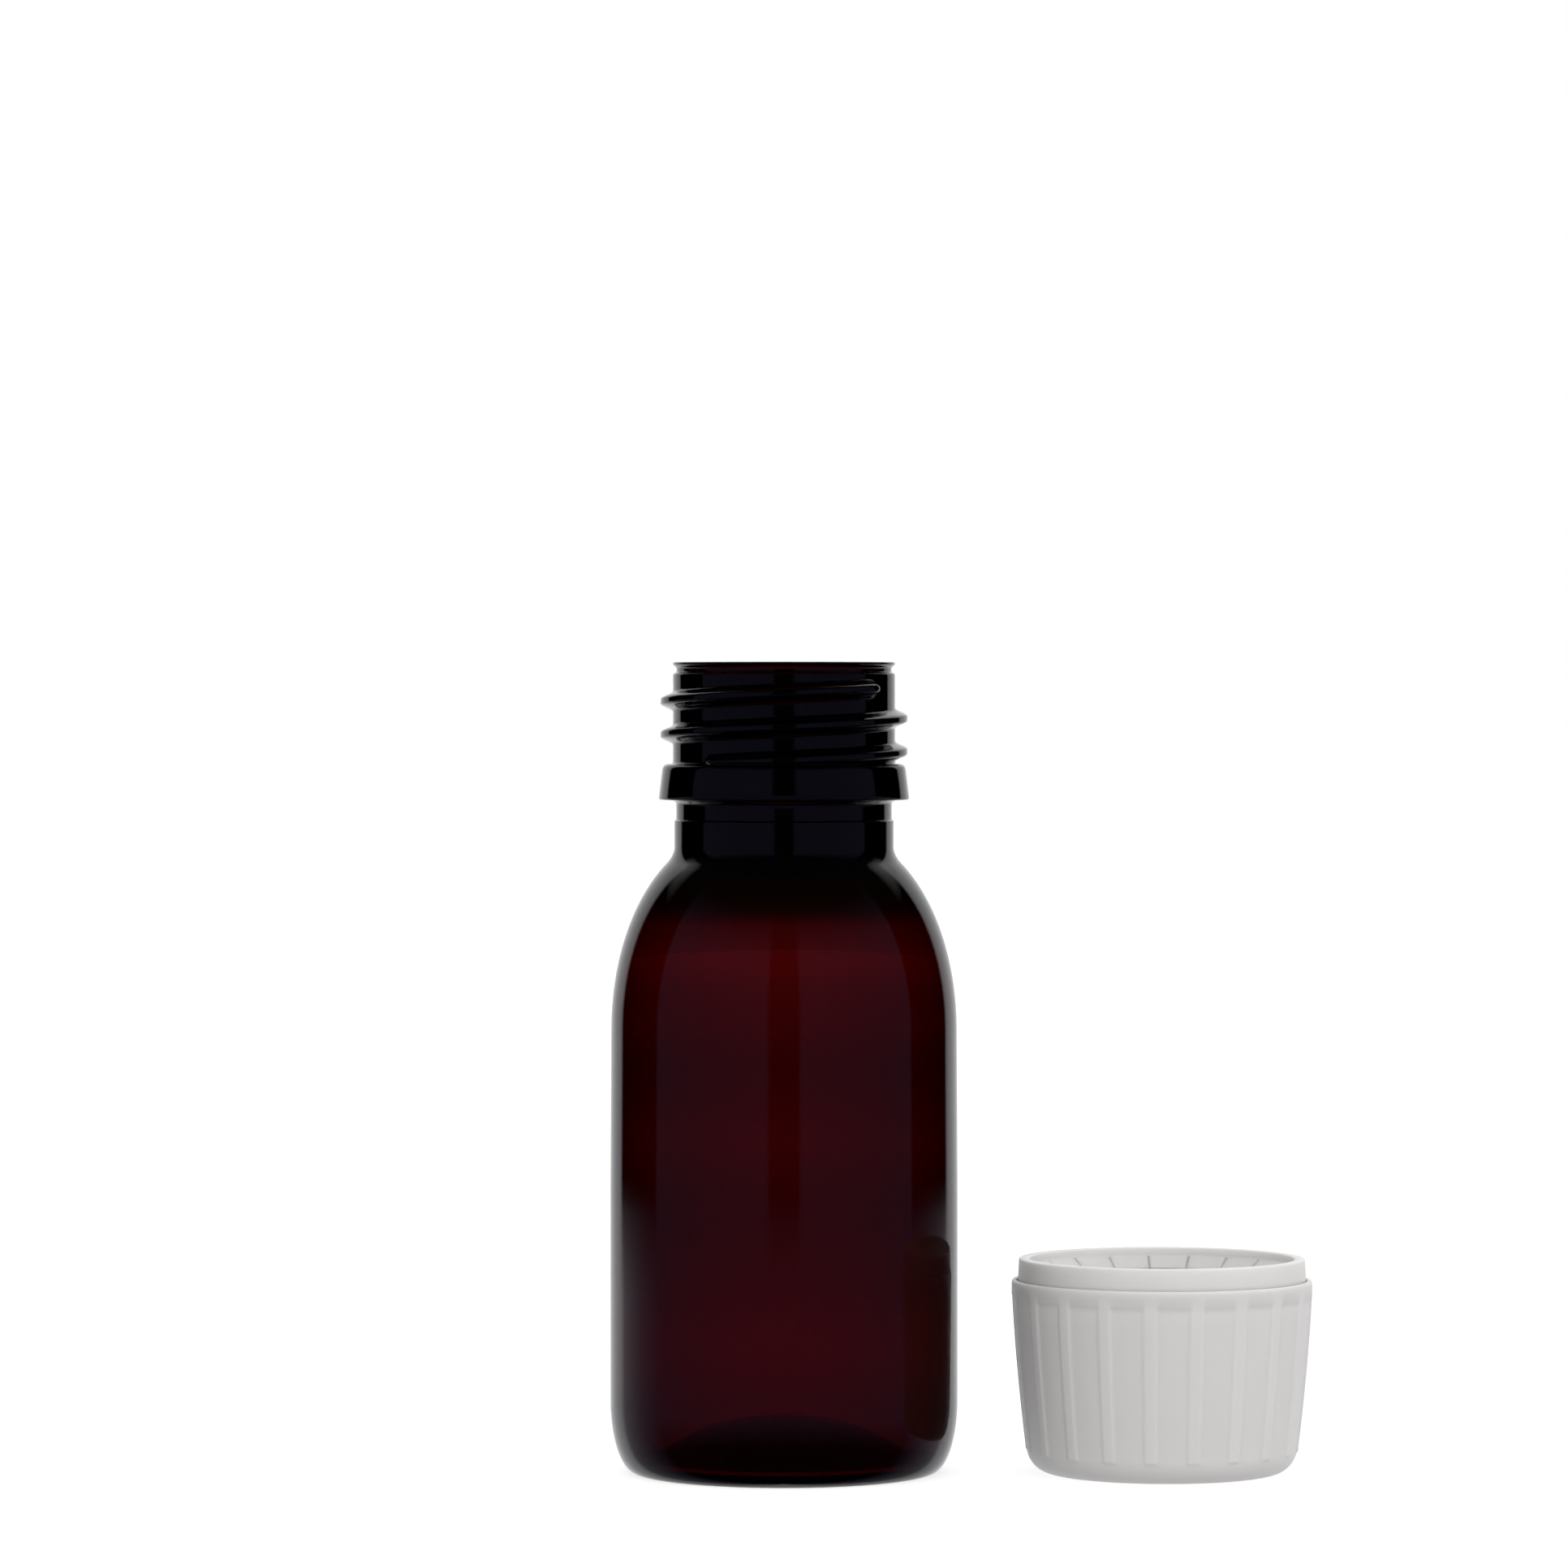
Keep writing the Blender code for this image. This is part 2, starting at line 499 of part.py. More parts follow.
# ---- Tamper band ---------------------------------------------------------------------------
flap_tip_r = BAND_BORE - FLAP_REACH
flap_low_z = FLAP_TIP_Z - FLAP_CATCH_GAP
band_step_z = FLANGE_Z + EDGE
band_inside = [
    (BAND_NECK_BORE, BAND_Z), (BAND_NECK_BORE, band_step_z),
    (BAND_BORE, band_step_z + BAND_MOUTH_STEP), (BAND_BORE, FLAP_ROOT_Z - FLAP_THICKNESS),
    (flap_tip_r + EDGE, flap_low_z), (flap_tip_r, flap_low_z + EDGE),
    (BAND_BORE, FLAP_ROOT_Z + EDGE), (BAND_BORE, BAND_END_Z - EDGE),
    (BAND_BORE + EDGE, BAND_END_Z),
]
band_outside = (
    sweep((BAND_R - BAND_EDGE, BAND_END_Z), (BAND_R - EDGE / 2, BAND_END_Z),
          (BAND_R - EDGE / 2, BAND_END_Z - BAND_EDGE), 3)
    + [(BAND_R, MOUTH_Z), (BAND_R, FLANGE_Z + EDGE), (BAND_R - EDGE, FLANGE_Z),
       (BAND_NECK_R, FLANGE_Z), (BAND_NECK_R, BAND_Z)])
band_natural = material("band_natural", (0.82, 0.81, 0.80), 0.35)
tamper_band = turned("tamper_band", band_inside + band_outside, CLOSURE_X, finish=band_natural,
                     loop=True)
slot_r = flap_tip_r - FIT_GAP
slot_length = BAND_BORE - EDGE / 2 - slot_r
flap_slots = ring_of_blocks(
    "flap_slots", FLAP_COUNT, (slot_length, FLAP_SLOT, FLAP_RISE + 2 * FIT_GAP),
    (slot_r + slot_length / 2, 0.0, (FLAP_ROOT_Z + FLAP_TIP_Z) / 2), CLOSURE_X, FLAP_PHASE_DEG)
combine(tamper_band, flap_slots, "DIFFERENCE")
bridge_height = BRIDGE_SPAN - FIT_GAP + SINK
bridges = ring_of_blocks(
    "bridges", BRIDGE_COUNT, (BAND_NECK_WALL - 2 * BRIDGE_INSET, BRIDGE_WIDTH, bridge_height),
    (BAND_NECK_BORE + BAND_NECK_WALL / 2, 0.0, BAND_Z + SINK - bridge_height / 2), CLOSURE_X,
    BRIDGE_PHASE_DEG)
combine(tamper_band, bridges, "UNION")
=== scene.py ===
# %% [markdown]
# # A prescription vial, made ready for close viewing
# The object is a small amber medicine bottle with a screw neck, and its child-resistant closure
# standing crown down beside it. The sizes and the moving bodies come from a finished frame. This
# notebook builds fine surfaces on that frame and gives each one a finish.

# %% Load the frame
from math import acos, cos, degrees, pi, radians, sin

import bpy
import numpy as np
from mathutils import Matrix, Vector


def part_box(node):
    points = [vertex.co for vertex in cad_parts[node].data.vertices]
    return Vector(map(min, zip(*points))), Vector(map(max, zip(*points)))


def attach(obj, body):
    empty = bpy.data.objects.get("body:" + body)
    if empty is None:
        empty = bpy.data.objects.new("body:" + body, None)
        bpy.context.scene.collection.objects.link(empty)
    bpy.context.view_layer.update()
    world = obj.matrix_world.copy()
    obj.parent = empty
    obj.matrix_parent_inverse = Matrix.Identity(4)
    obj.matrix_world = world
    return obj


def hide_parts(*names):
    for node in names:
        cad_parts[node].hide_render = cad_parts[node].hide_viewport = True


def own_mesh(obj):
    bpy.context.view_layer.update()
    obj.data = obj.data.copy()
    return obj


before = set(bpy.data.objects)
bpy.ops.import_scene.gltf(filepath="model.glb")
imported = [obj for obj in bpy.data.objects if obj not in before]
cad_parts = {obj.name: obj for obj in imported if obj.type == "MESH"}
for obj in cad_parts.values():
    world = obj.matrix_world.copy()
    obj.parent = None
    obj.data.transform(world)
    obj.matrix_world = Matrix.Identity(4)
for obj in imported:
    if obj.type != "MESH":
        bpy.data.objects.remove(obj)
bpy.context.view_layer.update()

# %% [markdown]
# ## Read the main sizes off the frame
# Every piece is turned round one of two upright axes, so a node's box gives its axis, its radius
# and its two end heights. Reading them here keeps the fine pieces inside the frame's pieces.

# %% Main sizes
MM = 0.001


def turned_size(node):
    """Axis x, outer radius, lowest and highest z of a round node."""
    low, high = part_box(node)
    return (low.x + high.x) / 2, (high.x - low.x) / 2, low.z, high.z


BOTTLE_X, BODY_R, _, BOTTLE_TOP = turned_size("bottle")
CLOSURE_X, SHELL_R, _, MOUTH_Z = turned_size("outer_shell")
_, CAP_COLLAR_R, CAP_LUG_Z, SKIRT_END_Z = turned_size("inner_cap")
_, LINER_R, LINER_Z, SEAL_Z = turned_size("liner")
_, BAND_R, _, BAND_TOP_Z = turned_size("tamper_band")
_, SPRING_R, TONGUE_Z, HUB_Z = turned_size("spring_disc")
print(f"bottle {2000 * BODY_R:.1f} x {1000 * BOTTLE_TOP:.1f} mm, shell {2000 * SHELL_R:.1f} mm")

# %% [markdown]
# ## Camera
# The view is from the front, a hand's breadth above the table and level with the bottle's mouth,
# through a long lens from about three quarters of a metre.

# %% Camera
CAMERA_DISTANCE = 0.78
CAMERA_HEIGHT = 0.0868
CAMERA_LENS = 160.5
CAMERA_DIP = 0.733
SENSOR_WIDTH = 36.0

camera_data = bpy.data.cameras.new("camera")
camera_data.lens = CAMERA_LENS
camera_data.sensor_width = SENSOR_WIDTH
camera = bpy.data.objects.new("camera", camera_data)
camera.location = (BOTTLE_X, -CAMERA_DISTANCE, CAMERA_HEIGHT)
camera.rotation_euler = (radians(90.0 - CAMERA_DIP), 0.0, 0.0)
bpy.context.scene.collection.objects.link(camera)
bpy.context.scene.camera = camera
print("camera at", tuple(round(value, 3) for value in camera.location))

# %% [markdown]
# ## Lines for outlines
# A turned piece starts as half a section. It could be a Bezier curve drawn by hand, but points
# worked out from named sizes keep every radius true. The round stretches are pieces of ellipses
# and smooth sweeps, and every sharp corner is rounded, because no moulded edge is truly sharp.

# %% Outline helpers
CORNER_STEPS = 4
CORNER_SHARE = 0.45
NEARLY_STRAIGHT_DEG = 155.0
TOO_SHORT = 0.0000001


def arc(centre, radii, start, end, steps):
    """Points along part of an ellipse in the (radius, height) plane, angles in degrees."""
    angles = [radians(start + (end - start) * i / steps) for i in range(steps + 1)]
    return [(centre[0] + radii[0] * cos(a), centre[1] + radii[1] * sin(a)) for a in angles]


def sweep(start, middle, end, steps):
    """Points along a curve that leaves start towards middle and arrives at end."""
    points = []
    for i in range(steps + 1):
        t = i / steps
        weights = ((1 - t) ** 2, 2 * t * (1 - t), t ** 2)
        points.append(tuple(sum(w * p[k] for w, p in zip(weights, (start, middle, end)))
                            for k in (0, 1)))
    return points


def rows(start, end, steps):
    """Evenly spaced points from start to end, without the end itself."""
    return [(start[0] + (end[0] - start[0]) * i / steps, start[1] + (end[1] - start[1]) * i / steps)
            for i in range(steps)]


def softened(outline, size, loop=False):
    """The outline with each sharp corner cut back and rounded to about the given size."""
    count = len(outline)
    rounded = []
    for i, here in enumerate(outline):
        if not loop and i in (0, count - 1):
            rounded.append(here)
            continue
        corner = Vector(here)
        before, after = Vector(outline[i - 1]) - corner, Vector(outline[(i + 1) % count]) - corner
        too_short = min(before.length, after.length) < TOO_SHORT
        if too_short or before.angle(after) > radians(NEARLY_STRAIGHT_DEG):
            rounded.append(here)
            continue
        reach = min(size, before.length * CORNER_SHARE, after.length * CORNER_SHARE)
        first, last = corner + before.normalized() * reach, corner + after.normalized() * reach
        rounded += sweep(tuple(first), here, tuple(last), CORNER_STEPS)
    return rounded


square = [(0.0, 0.0), (MM, 0.0), (MM, MM)]
print("a corner of", len(square), "points is rounded to", len(softened(square, 0.1 * MM)))


# %% [markdown]
# ## Turning on the lathe
# The bottle and every piece of the closure are round, as if turned on a lathe. Each is drawn as a
# single point that is extruded along its half section, and then spun round its axis. A Screw
# modifier would do the same, but Spin leaves real faces in even columns, which later steps select
# by angle.

# %% Turning helper
OUTLINE_WELD = 0.000001
SPIN_WELD = 0.000002


def deselect_all():
    """Leave nothing selected, because every operator works on what is selected."""
    if bpy.context.object and bpy.context.object.mode != "OBJECT":
        bpy.ops.object.mode_set(mode="OBJECT")
    bpy.ops.object.select_all(action="DESELECT")


def turn(name, outline, axis_x, columns, loop=False):
    """Draw the half section point by point and spin it round the upright axis at axis_x."""
    deselect_all()
    bpy.ops.mesh.primitive_plane_add(size=MM, location=(axis_x + outline[0][0], 0.0, outline[0][1]))
    piece = bpy.context.object
    piece.name = piece.data.name = name
    bpy.ops.object.transform_apply(location=True, rotation=True, scale=True)
    bpy.ops.object.mode_set(mode="EDIT")
    bpy.ops.mesh.select_mode(type="VERT")
    bpy.ops.mesh.select_all(action="SELECT")
    bpy.ops.mesh.merge(type="CENTER")
    for here, there in zip(outline, outline[1:]):
        step = (there[0] - here[0], 0.0, there[1] - here[1])
        bpy.ops.mesh.extrude_region_move(TRANSFORM_OT_translate={"value": step})
    if loop:
        step = (outline[0][0] - outline[-1][0], 0.0, outline[0][1] - outline[-1][1])
        bpy.ops.mesh.extrude_region_move(TRANSFORM_OT_translate={"value": step})
    bpy.ops.mesh.select_all(action="SELECT")
    bpy.ops.mesh.remove_doubles(threshold=OUTLINE_WELD)
    bpy.ops.mesh.spin(steps=columns, angle=2 * pi, center=(axis_x, 0.0, 0.0), axis=(0.0, 0.0, 1.0))
    bpy.ops.mesh.select_all(action="SELECT")
    bpy.ops.mesh.remove_doubles(threshold=SPIN_WELD)
    bpy.ops.mesh.normals_make_consistent(inside=False)
    bpy.ops.object.mode_set(mode="OBJECT")
    bpy.ops.object.shade_smooth()
    print(name, "turned:", len(piece.data.polygons), "faces")
    return piece


print("points closer than", SPIN_WELD / MM, "mm are merged after a spin")


# %% [markdown]
# ## Cutting a thread
# A real thread is a ridge that winds round the wall and ends in a rounded nose. On a wall with
# close rows, the ridge is raised by moving points in or out by a smooth hump. This keeps the
# surface whole, where a separate ridge would leave a hard line at its foot.

# %% Thread helper
ON_WALL = 0.02 * MM


def wind_thread(piece, axis_x, wall_r, z_range, height, base, crest, pitch, turns, top_z, start):
    """Raise a right-hand thread on the wall at wall_r; a negative height goes inward."""
    mesh = piece.data
    flat = np.empty(len(mesh.vertices) * 3)
    mesh.vertices.foreach_get("co", flat)
    points = flat.reshape(-1, 3)
    x, y, z = points[:, 0] - axis_x, points[:, 1], points[:, 2]
    r = np.hypot(x, y)
    on_wall = (abs(r - wall_r) < ON_WALL) & (z > z_range[0]) & (z < z_range[1])
    angle = np.arctan2(y, x)
    first, last = radians(start) - 2 * pi * turns, radians(start)
    best = np.zeros(len(points))
    for lap in range(-int(turns) - 2, 3):
        along = angle + 2 * pi * lap
        inside = np.clip(along, first, last)
        centre_z = top_z - pitch * (last - inside) / (2 * pi)
        away = np.hypot((along - inside) * wall_r, z - centre_z)
        share = np.clip((base / 2 - away) / ((base - crest) / 2), 0.0, 1.0)
        best = np.maximum(best, share * share * (3 - 2 * share))
    new_r = r + np.where(on_wall, best * height, 0.0)
    scale = np.where(r > 0, new_r / np.maximum(r, 1e-9), 1.0)
    points[:, 0] = axis_x + x * scale
    points[:, 1] = y * scale
    mesh.vertices.foreach_set("co", points.ravel())
    mesh.update()
    print(piece.name, "thread:", int((best[on_wall] > 0).sum()), "points moved")


print("points within", ON_WALL / MM, "mm of a wall can be raised into a thread")


# %% [markdown]
# ## The bottle
# The bottle is blown from a moulded preform. The neck stays as thick as the preform and looks
# nearly black, while the blown body is thin and glows red-brown. A Solidify modifier would give
# one thickness everywhere, so both sides of the wall are drawn, the inside up and the outside
# down, and the finish can darken by real thickness.

# %% Bottle sizes
NECK_R = 12.4 * MM
NECK_WALL = 1.5 * MM
LIP_FLANGE = 0.4 * MM
LIP_GROOVE = 0.9 * MM
LIP_GROOVE_DEPTH = 0.4 * MM
BEAD_DROP = 11.3 * MM
BEAD_HEIGHT = 4.0 * MM
BEAD_R = 13.97 * MM
BEAD_TOP_R = 13.5 * MM
BEAD_EDGE = 0.7 * MM
UNDERCUT_R = 12.03 * MM
UNDERCUT_HEIGHT = 2.35 * MM
UNDERCUT_FILLET = 0.4 * MM
LOWER_NECK_R = 12.25 * MM
SHOULDER_R = BODY_R - 0.1 * MM
SHOULDER_DROP = 40.9 * MM
SHOULDER_RUN = 13.3 * MM
SHOULDER_RISE = 21.9 * MM
TAPER_DROP = 18.0 * MM
WALLS = ((6.0, 0.60), (14.0, 0.54), (22.0, 0.58), (30.0, 0.61), (37.0, 0.55), (45.0, 0.60),
         (52.0, 0.53), (57.5, 0.46), (61.0, 0.51), (66.5, 0.93), (70.0, 1.3))
HEEL_HEIGHT = 8.0 * MM
FOOT_R = 16.5 * MM
FOOT_WIDTH = 0.9 * MM
PUSH_UP = 5.0 * MM
BASE_WALL = 1.1 * MM
THREAD_HEIGHT = 1.38 * MM
THREAD_PITCH = 3.7 * MM
THREAD_BASE = 2.3 * MM
THREAD_CREST = 0.5 * MM
THREAD_TURNS = 2.24
THREAD_NOSE_DROP = 2.95 * MM
THREAD_NOSE_DEG = 319.0
THREAD_ROWS = 84
COLUMNS = 192
print(f"blown wall from {min(thick for _, thick in WALLS)} to {WALLS[-1][1]} mm")

# %% [markdown]
# The shoulder is a quarter of an ellipse that joins the neck in a small fillet. The wall's
# thickness follows a short table of heights, eased between its rows.

# %% Shoulder and wall
SHOULDER_FILLET = 0.8 * MM


def shoulder_arc(steps):
    """The shoulder's quarter ellipse, from the neck's fillet down to the body."""
    centre = (SHOULDER_R - SHOULDER_RUN, BOTTLE_TOP - SHOULDER_DROP)
    meet = degrees(acos((LOWER_NECK_R + SHOULDER_FILLET - centre[0]) / SHOULDER_RUN))
    return arc(centre, (SHOULDER_RUN, SHOULDER_RISE), meet, 0.0, steps)


def wall_at(height):
    """The blown wall's thickness at a height, eased between the listed ones, in millimetres."""
    for (low, thin), (high, thick) in zip(WALLS, WALLS[1:]):
        if height <= high:
            share = min(1.0, max(0.0, (height - low) / (high - low)))
            return thin + (thick - thin) * share * share * (3 - 2 * share)
    return WALLS[-1][1]


def hollowed(outline):
    """The outline moved inward by the blown wall's thickness at each height."""
    inner = []
    for before, here, after in zip(outline, outline[1:], outline[2:]):
        along = (Vector(after) - Vector(before)).normalized()
        wall = wall_at(here[1] / MM) * MM
        inner.append((here[0] + along.y * wall, here[1] - along.x * wall))
    return inner


print(f"wall half way up: {wall_at(BOTTLE_TOP / MM / 2):.2f} mm")

# %% [markdown]
# The outside runs from the lip down. Below the lip comes a shallow groove, then the thread's wall
# in close rows, the tamper bead with its undercut, the lower neck, the shoulder, the nearly
# straight body, the round heel, the standing ring and the dome that is pushed up in the middle.

# %% Outside of the bottle
LIP_ROUND = 0.15 * MM
BEAD_LEAD = 0.05 * MM
BEAD_SKIRT = 0.1 * MM
EDGE_ROUND = 0.1 * MM
STEP_ROUND = 0.12 * MM
THREAD_LEAD = 0.5 * MM
FILLET_REACH = 1.8 * MM
DOME_FULLNESS = 0.62


def bottle_outside():
    """From the lip down the outer side to the middle of the push-up."""
    groove_r = NECK_R - LIP_GROOVE_DEPTH
    groove_top = BOTTLE_TOP - LIP_FLANGE
    groove_end = groove_top - LIP_GROOVE
    bead_top = BOTTLE_TOP - BEAD_DROP
    bead_end = bead_top - BEAD_HEIGHT
    step_z = bead_end - UNDERCUT_HEIGHT
    shoulder = shoulder_arc(26)
    neck_end = (LOWER_NECK_R, shoulder[0][1] + FILLET_REACH)
    lip = softened([(NECK_R - NECK_WALL, BOTTLE_TOP), (NECK_R, BOTTLE_TOP),
                    (NECK_R, groove_top + LIP_FLANGE / 3), (groove_r, groove_top - LIP_GROOVE / 4),
                    (groove_r, groove_end + LIP_GROOVE / 4), (NECK_R, groove_end),
                    (NECK_R, groove_end - THREAD_LEAD)], LIP_ROUND)
    wall = rows((NECK_R, groove_end - THREAD_LEAD), (NECK_R, bead_top + BEAD_LEAD), THREAD_ROWS)
    bead = softened([(NECK_R, bead_top + BEAD_LEAD), (NECK_R + 0.2 * MM, bead_top),
                     (BEAD_TOP_R - BEAD_EDGE, bead_top)], EDGE_ROUND)
    bead += sweep((BEAD_TOP_R - BEAD_EDGE, bead_top), (BEAD_TOP_R, bead_top),
                  (BEAD_TOP_R + BEAD_SKIRT, bead_top - BEAD_EDGE), 8)[1:]
    under = softened([(BEAD_R, bead_end + 0.2 * MM), (BEAD_R - BEAD_LEAD, bead_end),
                      (UNDERCUT_R + UNDERCUT_FILLET, bead_end - UNDERCUT_FILLET / 4),
                      (UNDERCUT_R, bead_end - UNDERCUT_FILLET), (UNDERCUT_R, step_z + EDGE_ROUND),
                      (LOWER_NECK_R, step_z), neck_end], STEP_ROUND)
    fillet = sweep(neck_end, (LOWER_NECK_R, neck_end[1] - FILLET_REACH / 2), shoulder[0], 10)
    body = rows((BODY_R, shoulder[-1][1] - TAPER_DROP), (BODY_R, HEEL_HEIGHT), 10)
    heel = arc((FOOT_R, HEEL_HEIGHT), (BODY_R - FOOT_R, HEEL_HEIGHT), 0.0, -90.0, 22)
    foot_r = FOOT_R - FOOT_WIDTH
    dome = sweep((foot_r, 0.0), (foot_r * DOME_FULLNESS, PUSH_UP), (0.0, PUSH_UP), 20)
    return lip[1:-1] + wall + bead[1:] + under + fillet[1:-1] + shoulder + body + heel + dome


print("outside:", len(bottle_outside()), "points")

# %% [markdown]
# The inside runs back up. It follows the outside at the wall's own thickness, and the floor and the
# bore have smooth walls of their own, because a blown bottle has no sharp corner inside.

# %% Inside of the bottle
HEEL_END_DEG = -62.0
THROAT_RISE = 3.0 * MM
BORE_START_DROP = 12.0 * MM


def bottle_inside():
    """From the middle of the floor up the inner side to the lip."""
    floor_z = PUSH_UP + BASE_WALL
    valley_r = FOOT_R - FOOT_WIDTH / 2
    bore_r = NECK_R - NECK_WALL
    shoulder = shoulder_arc(30)
    taper_z = shoulder[-1][1] - TAPER_DROP
    heel = arc((FOOT_R, HEEL_HEIGHT), (BODY_R - FOOT_R, HEEL_HEIGHT), 0.0, HEEL_END_DEG, 16)
    side_wall = (shoulder + rows((SHOULDER_R, shoulder[-1][1]), (BODY_R, taper_z), 12)[1:]
                 + rows((BODY_R, taper_z), (BODY_R, HEEL_HEIGHT), 20) + heel)
    wall = hollowed(side_wall)[::-1]
    floor = sweep((0.0, floor_z), (valley_r * DOME_FULLNESS, floor_z),
                  (valley_r - BASE_WALL, BASE_WALL), 18)
    corner = sweep(floor[-1], (valley_r + 0.5 * MM, BASE_WALL * 0.8), wall[0], 8)
    throat = sweep(wall[-1], (bore_r, wall[-1][1] + THROAT_RISE / 3),
                   (bore_r, wall[-1][1] + THROAT_RISE), 10)
    return (floor + corner[1:-1] + wall + throat[1:]
            + rows((bore_r, BOTTLE_TOP - BORE_START_DROP), (bore_r, BOTTLE_TOP - LIP_ROUND), 6)
            + sweep((bore_r, BOTTLE_TOP - LIP_ROUND), (bore_r, BOTTLE_TOP),
                    (bore_r + LIP_ROUND, BOTTLE_TOP), 3))


print("inside:", len(bottle_inside()), "points")

# %% [markdown]
# Inside and outside make one closed line from the axis back to the axis, so one spin gives the
# whole bottle. Its thread then rises from the wall between the lip and the bead.

# %% Turn the bottle
THREAD_ZONE = (BOTTLE_TOP - BEAD_DROP + 0.1 * MM, BOTTLE_TOP - 1.4 * MM)
bottle = turn("bottle_body", bottle_inside() + bottle_outside(), BOTTLE_X, COLUMNS)
wind_thread(bottle, BOTTLE_X, NECK_R, THREAD_ZONE, THREAD_HEIGHT, THREAD_BASE, THREAD_CREST,
            THREAD_PITCH, THREAD_TURNS, BOTTLE_TOP - THREAD_NOSE_DROP, THREAD_NOSE_DEG)
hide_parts("bottle")
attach(bottle, "bottle")

# %% [markdown]
# ## The outer shell
# The shell is the part that the hand grips. Its side leans out towards the open end, and twenty
# low ribs stand on it below a smooth collar. Separate rib blocks would leave hard seams. So the
# ribs are columns of points on the turned side, picked by angle and fattened outward, as a groove
# cut into the mould makes them.

# %% Shell sizes
RIB_COUNT = 20
RIB_HEIGHT = 0.14 * MM
RIB_HALF_WIDTH_DEG = 2.7
RIB_PHASE_DEG = 10.5
RIB_LOW_Z = 2.3 * MM
SIDE_LOW_Z = RIB_LOW_Z + 0.7 * MM
CORNER_START_DEG = -6.0
COLLAR_Z = MOUTH_Z - 1.65 * MM
COLLAR_STEP = 0.2 * MM
LEDGE_Z = MOUTH_Z - 1.5 * MM
SHELL_BASE_R = 15.26 * MM
SHELL_WALL = 0.7 * MM
SHELL_CROWN = 1.4 * MM
CORNER_RISE = 3.0 * MM
CORNER_RUN = 2.8 * MM
MOUTH_BORE = BAND_R + 0.12 * MM
SNAP_R = BAND_R - 1.0 * MM
SIDE_BELLY = 0.6 * MM
MOUTH_EDGE_RUN = 0.25 * MM
MOUTH_EDGE_DROP = 0.45 * MM
MOUTH_ROUND = 0.1 * MM
SNAP_SLOPE = 0.3 * MM
SHELL_COLUMNS = 480
LUG_HEIGHT = 0.9 * MM
LUG_INNER_R = 9.6 * MM
LUG_OUTER_R = 12.2 * MM


def side_r(z):
    """Rib crest radius of the shell at a height: a cone with a slight belly."""
    t = (z - CORNER_RISE) / (COLLAR_Z - CORNER_RISE)
    return SHELL_BASE_R + (SHELL_R - SHELL_BASE_R) * t + SIDE_BELLY * t * (1 - t)


def side(inset, low, high, steps):
    """Points up or down the shell's side, moved in by inset."""
    levels = [low + (high - low) * i / steps for i in range(steps + 1)]
    return [(side_r(z) - inset, z) for z in levels]


print(f"side radius half way up: {side_r(MOUTH_Z / 2) / MM:.2f} mm")

# %% [markdown]
# The shell is turned first: up the inside, round the mouth and down the outside. The narrow ledge
# inside the mouth is the snap bead that holds the inner cap in.

# %% Turn the shell
corner_r = SHELL_BASE_R - RIB_HEIGHT
flat_r = corner_r - CORNER_RUN
snap_z = SKIRT_END_Z + 0.2 * MM
shell_inside = (
    [(0.0, SHELL_CROWN), (LUG_INNER_R, SHELL_CROWN), (LUG_OUTER_R, SHELL_CROWN)]
    + sweep((flat_r, SHELL_CROWN), (corner_r - SHELL_WALL, SHELL_CROWN),
            (corner_r - SHELL_WALL, CORNER_RISE), 8)
    + side(RIB_HEIGHT + SHELL_WALL, CORNER_RISE, snap_z, 8)[1:]
    + softened([(SNAP_R, snap_z + SNAP_SLOPE), (SNAP_R, LEDGE_Z - SNAP_SLOPE / 2),
                (MOUTH_BORE, LEDGE_Z), (MOUTH_BORE, MOUTH_Z),
                (SHELL_R - MOUTH_EDGE_RUN, MOUTH_Z)], MOUTH_ROUND))
shell_outside = (
    sweep((SHELL_R - MOUTH_EDGE_RUN, MOUTH_Z), (SHELL_R, MOUTH_Z),
          (SHELL_R, MOUTH_Z - MOUTH_EDGE_DROP), 6)[1:]
    + [(SHELL_R, COLLAR_Z)]
    + side(RIB_HEIGHT, COLLAR_Z - COLLAR_STEP, SIDE_LOW_Z, 22)
    + arc((flat_r, CORNER_RISE), (CORNER_RUN, CORNER_RISE), CORNER_START_DEG, -90.0, 22)
    + [(0.0, 0.0)])
shell = turn("shell_body", shell_inside + shell_outside, CLOSURE_X, SHELL_COLUMNS)

# %% [markdown]
# A rib is every point on the outer side within a small angle of its middle. Fattening moves the
# points along their own normals, and the last column of faces on each side becomes the rib's
# slanting flank.

# %% Raise the ribs
RIB_SPACING_DEG = 360.0 / RIB_COUNT
RIB_TOP_Z = COLLAR_Z - 0.1 * MM
RIB_REACH = 0.6 * MM
RIB_LIFT = RIB_HEIGHT - 0.01 * MM


def pick_points(piece, axis_x, test):
    """Select the points of a piece for which test(radius, angle in degrees, z) is true."""
    deselect_all()
    bpy.context.view_layer.objects.active = piece
    piece.select_set(True)
    bpy.ops.object.mode_set(mode="EDIT")
    bpy.ops.mesh.select_mode(type="VERT")
    bpy.ops.mesh.select_all(action="DESELECT")
    bpy.ops.object.mode_set(mode="OBJECT")
    flat = np.empty(len(piece.data.vertices) * 3)
    piece.data.vertices.foreach_get("co", flat)
    points = flat.reshape(-1, 3)
    x, y = points[:, 0] - axis_x, points[:, 1]
    chosen = test(np.hypot(x, y), np.degrees(np.arctan2(y, x)), points[:, 2])
    piece.data.vertices.foreach_set("select", chosen)
    bpy.ops.object.mode_set(mode="EDIT")
    return int(chosen.sum())


